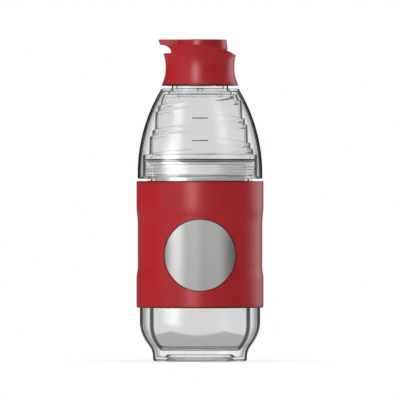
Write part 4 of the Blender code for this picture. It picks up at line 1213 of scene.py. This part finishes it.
for pieceName, node in (("spoutStopper", "spout_stopper"), ("ventStopper", "vent_stopper")):
    low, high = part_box(node)
    x, radius = ((low + high) / 2).x, (high.x - low.x) / 2
    stopperMesh = rodMesh(
        pieceName, radius, (x, 0, low.z), (x, 0, high.z), stoppers["steps"], stoppers["round"])
    addPiece(pieceName, stopperMesh, paleSilicone, "lid", node)
print("lid made")

# Studio

studio = {
    "viewWidth": 252 * mm, "viewCentre": 101.4 * mm, "lens": 800, "sensor": 36, "farthest": 60,
    "ambient": 0.56, "seenThrough": 1.0,
    "mirrored": (0.03, 0.35, 0.25, 0.75),       # reflections find a dark horizon and a pale sky
    "mirroredDeep": (1.0, 0.35, 0.20, 0.50),    # those inside several clear walls find a white horizon
    "floorSize": 6.0, "floorColour": (0.92, 0.92, 0.92), "floorRoughness": 0.9, "floorSpecular": 0.1,
    "floorNear": 0.03, "floorFar": 0.09, "floorWhite": 0.8,
}
# Each is: azimuth from the camera, height, distance, own width and height, brightness, what it lights, how
lamps = {
    "keyRed": (-60, 0.30, 1.0, 0.80, 0.9, 1.95, "red", "diffuse"),
    "stripRed": (-15, 0.12, 1.3, 0.34, 2.6, 9.00, "red", "glossy"),
    "rimRight": (126, 0.15, 1.0, 0.75, 0.9, 1.60, "red", "glossy"),
    "glowClear": (-57, 0.05, 1.2, 0.64, 0.9, 9.50, "clear", "glossy"),
    "edgeClear": (48, 0.80, 1.0, 0.30, 0.7, 2.60, "clear", "glossy"),
    "softLeft": (-45, 0.20, 1.0, 0.50, 0.9, 1.50, "plain", "both"),
    "softMiddle": (-10, 0.12, 1.2, 0.54, 1.1, 0.78, "plain", "both"),
    "fillRight": (28, 0.15, 1.2, 0.88, 0.9, 0.60, "plain", "both"),
}
litGroups = {
    "red": ("redSilicone", "redPlastic"),
    "clear": ("clearPlastic", "jacketPlastic", "cupPlastic", "vesselPlastic", "plugPlastic"),
}


def makeFloor():  # paper that glows a little where the camera sees it, less so under the bottle
    size = studio["floorSize"] / 2
    corners = [(-size, -size, 0), (size, -size, 0), (size, size, 0), (-size, size, 0)]
    mesh = bpy.data.meshes.new("floor")
    mesh.from_pydata(corners, [], [(0, 1, 2, 3)])
    floor = bpy.data.objects.new("floor", mesh)
    bpy.context.scene.collection.objects.link(floor)
    material, shader = newMaterial("floorPaper", {
        "Base Color": (*studio["floorColour"], 1), "Roughness": studio["floorRoughness"],
        "Specular IOR Level": studio["floorSpecular"],
    })
    glow = addNode(material, "ShaderNodeEmission", {"Color": (1, 1, 1, 1), "Strength": 1.0})
    away = calculateVector(material, "LENGTH", ownPlace(material), output="Value")
    fade = mapRange(material, away, studio["floorWhite"], 1, studio["floorNear"], studio["floorFar"])
    path = addNode(material, "ShaderNodeLightPath").outputs
    seen = calculate(material, "MAXIMUM", path["Is Camera Ray"], path["Is Transmission Ray"])
    blendShaders(material, calculate(material, "MULTIPLY", fade, seen), shader, glow)
    mesh.materials.append(material)


def makeWorld():  # each kind of ray finds a room of its own brightness
    world = bpy.data.worlds.new("studioWorld")
    bpy.context.scene.world = world
    world.use_nodes = True
    path = addNode(world, "ShaderNodeLightPath").outputs
    direction = addNode(world, "ShaderNodeTexCoord").outputs["Generated"]
    upwards = addNode(world, "ShaderNodeSeparateXYZ", {0: direction}).outputs["Z"]
    mirrored = calculate(world, "GREATER_THAN", path["Glossy Depth"], 0.5)   # once or more
    deep = calculate(world, "GREATER_THAN", path["Ray Depth"], clearLook["bends"])
    level = studio["ambient"]
    for share, strength in (
        (path["Is Transmission Ray"], studio["seenThrough"]),
        (mirrored, mapRange(world, upwards, *studio["mirrored"])),
        (deep, mapRange(world, upwards, *studio["mirroredDeep"])),
        (path["Is Camera Ray"], 1.0),
    ):
        level = addNode(world, "ShaderNodeMix", {0: share, 2: level, 3: strength}).outputs[0]
    background = world.node_tree.nodes["Background"]
    background.inputs["Color"].default_value = (1, 1, 1, 1)
    link(world, level, background.inputs["Strength"])


def lampGroups():  # the pieces sorted by what they are made of, so that each lamp lights its own kind
    groups = {kind: bpy.data.collections.new(kind) for kind in (*litGroups, "plain")}
    for thing in bpy.context.scene.objects:
        if thing.type == "MESH":
            made = thing.active_material.name if thing.active_material else ""
            kind = next((kind for kind, names in litGroups.items() if made in names), "plain")
            groups[kind].objects.link(thing)
    return groups


def makeLamp(name, azimuth, height, distance, width, tall, brightness, lights, shows):
    data = bpy.data.lights.new(name, "AREA")
    data.shape = "RECTANGLE"
    data.size, data.size_y = width, tall
    data.energy = brightness * math.pi * width * tall
    lamp = bpy.data.objects.new(name, data)
    bpy.context.scene.collection.objects.link(lamp)
    angle = math.radians(azimuth)
    lamp.location = (distance * math.sin(angle), -distance * math.cos(angle), height)
    toMiddle = Vector((0, 0, studio["viewCentre"])) - lamp.location
    lamp.rotation_euler = toMiddle.to_track_quat("-Z", "Y").to_euler()
    lamp.visible_camera = False
    lamp.visible_glossy = shows != "diffuse"
    lamp.visible_diffuse = shows != "glossy"
    lamp.light_linking.receiver_collection = lampTargets[lights]


def makeCamera():
    data = bpy.data.cameras.new("photoCamera")
    data.lens, data.sensor_width = studio["lens"], studio["sensor"]
    camera = bpy.data.objects.new("photoCamera", data)
    bpy.context.scene.collection.objects.link(camera)
    distance = studio["lens"] / studio["sensor"] * studio["viewWidth"]
    camera.location = (0, -distance, studio["viewCentre"])
    camera.rotation_euler = (math.radians(90), 0, 0)
    data.clip_end = studio["farthest"]
    bpy.context.scene.camera = camera


makeFloor()
makeWorld()
lampTargets = lampGroups()
for lampName, lampPlace in lamps.items():
    makeLamp(lampName, *lampPlace)
makeCamera()
bpy.context.scene.view_settings.view_transform = "Standard"
print("studio made")
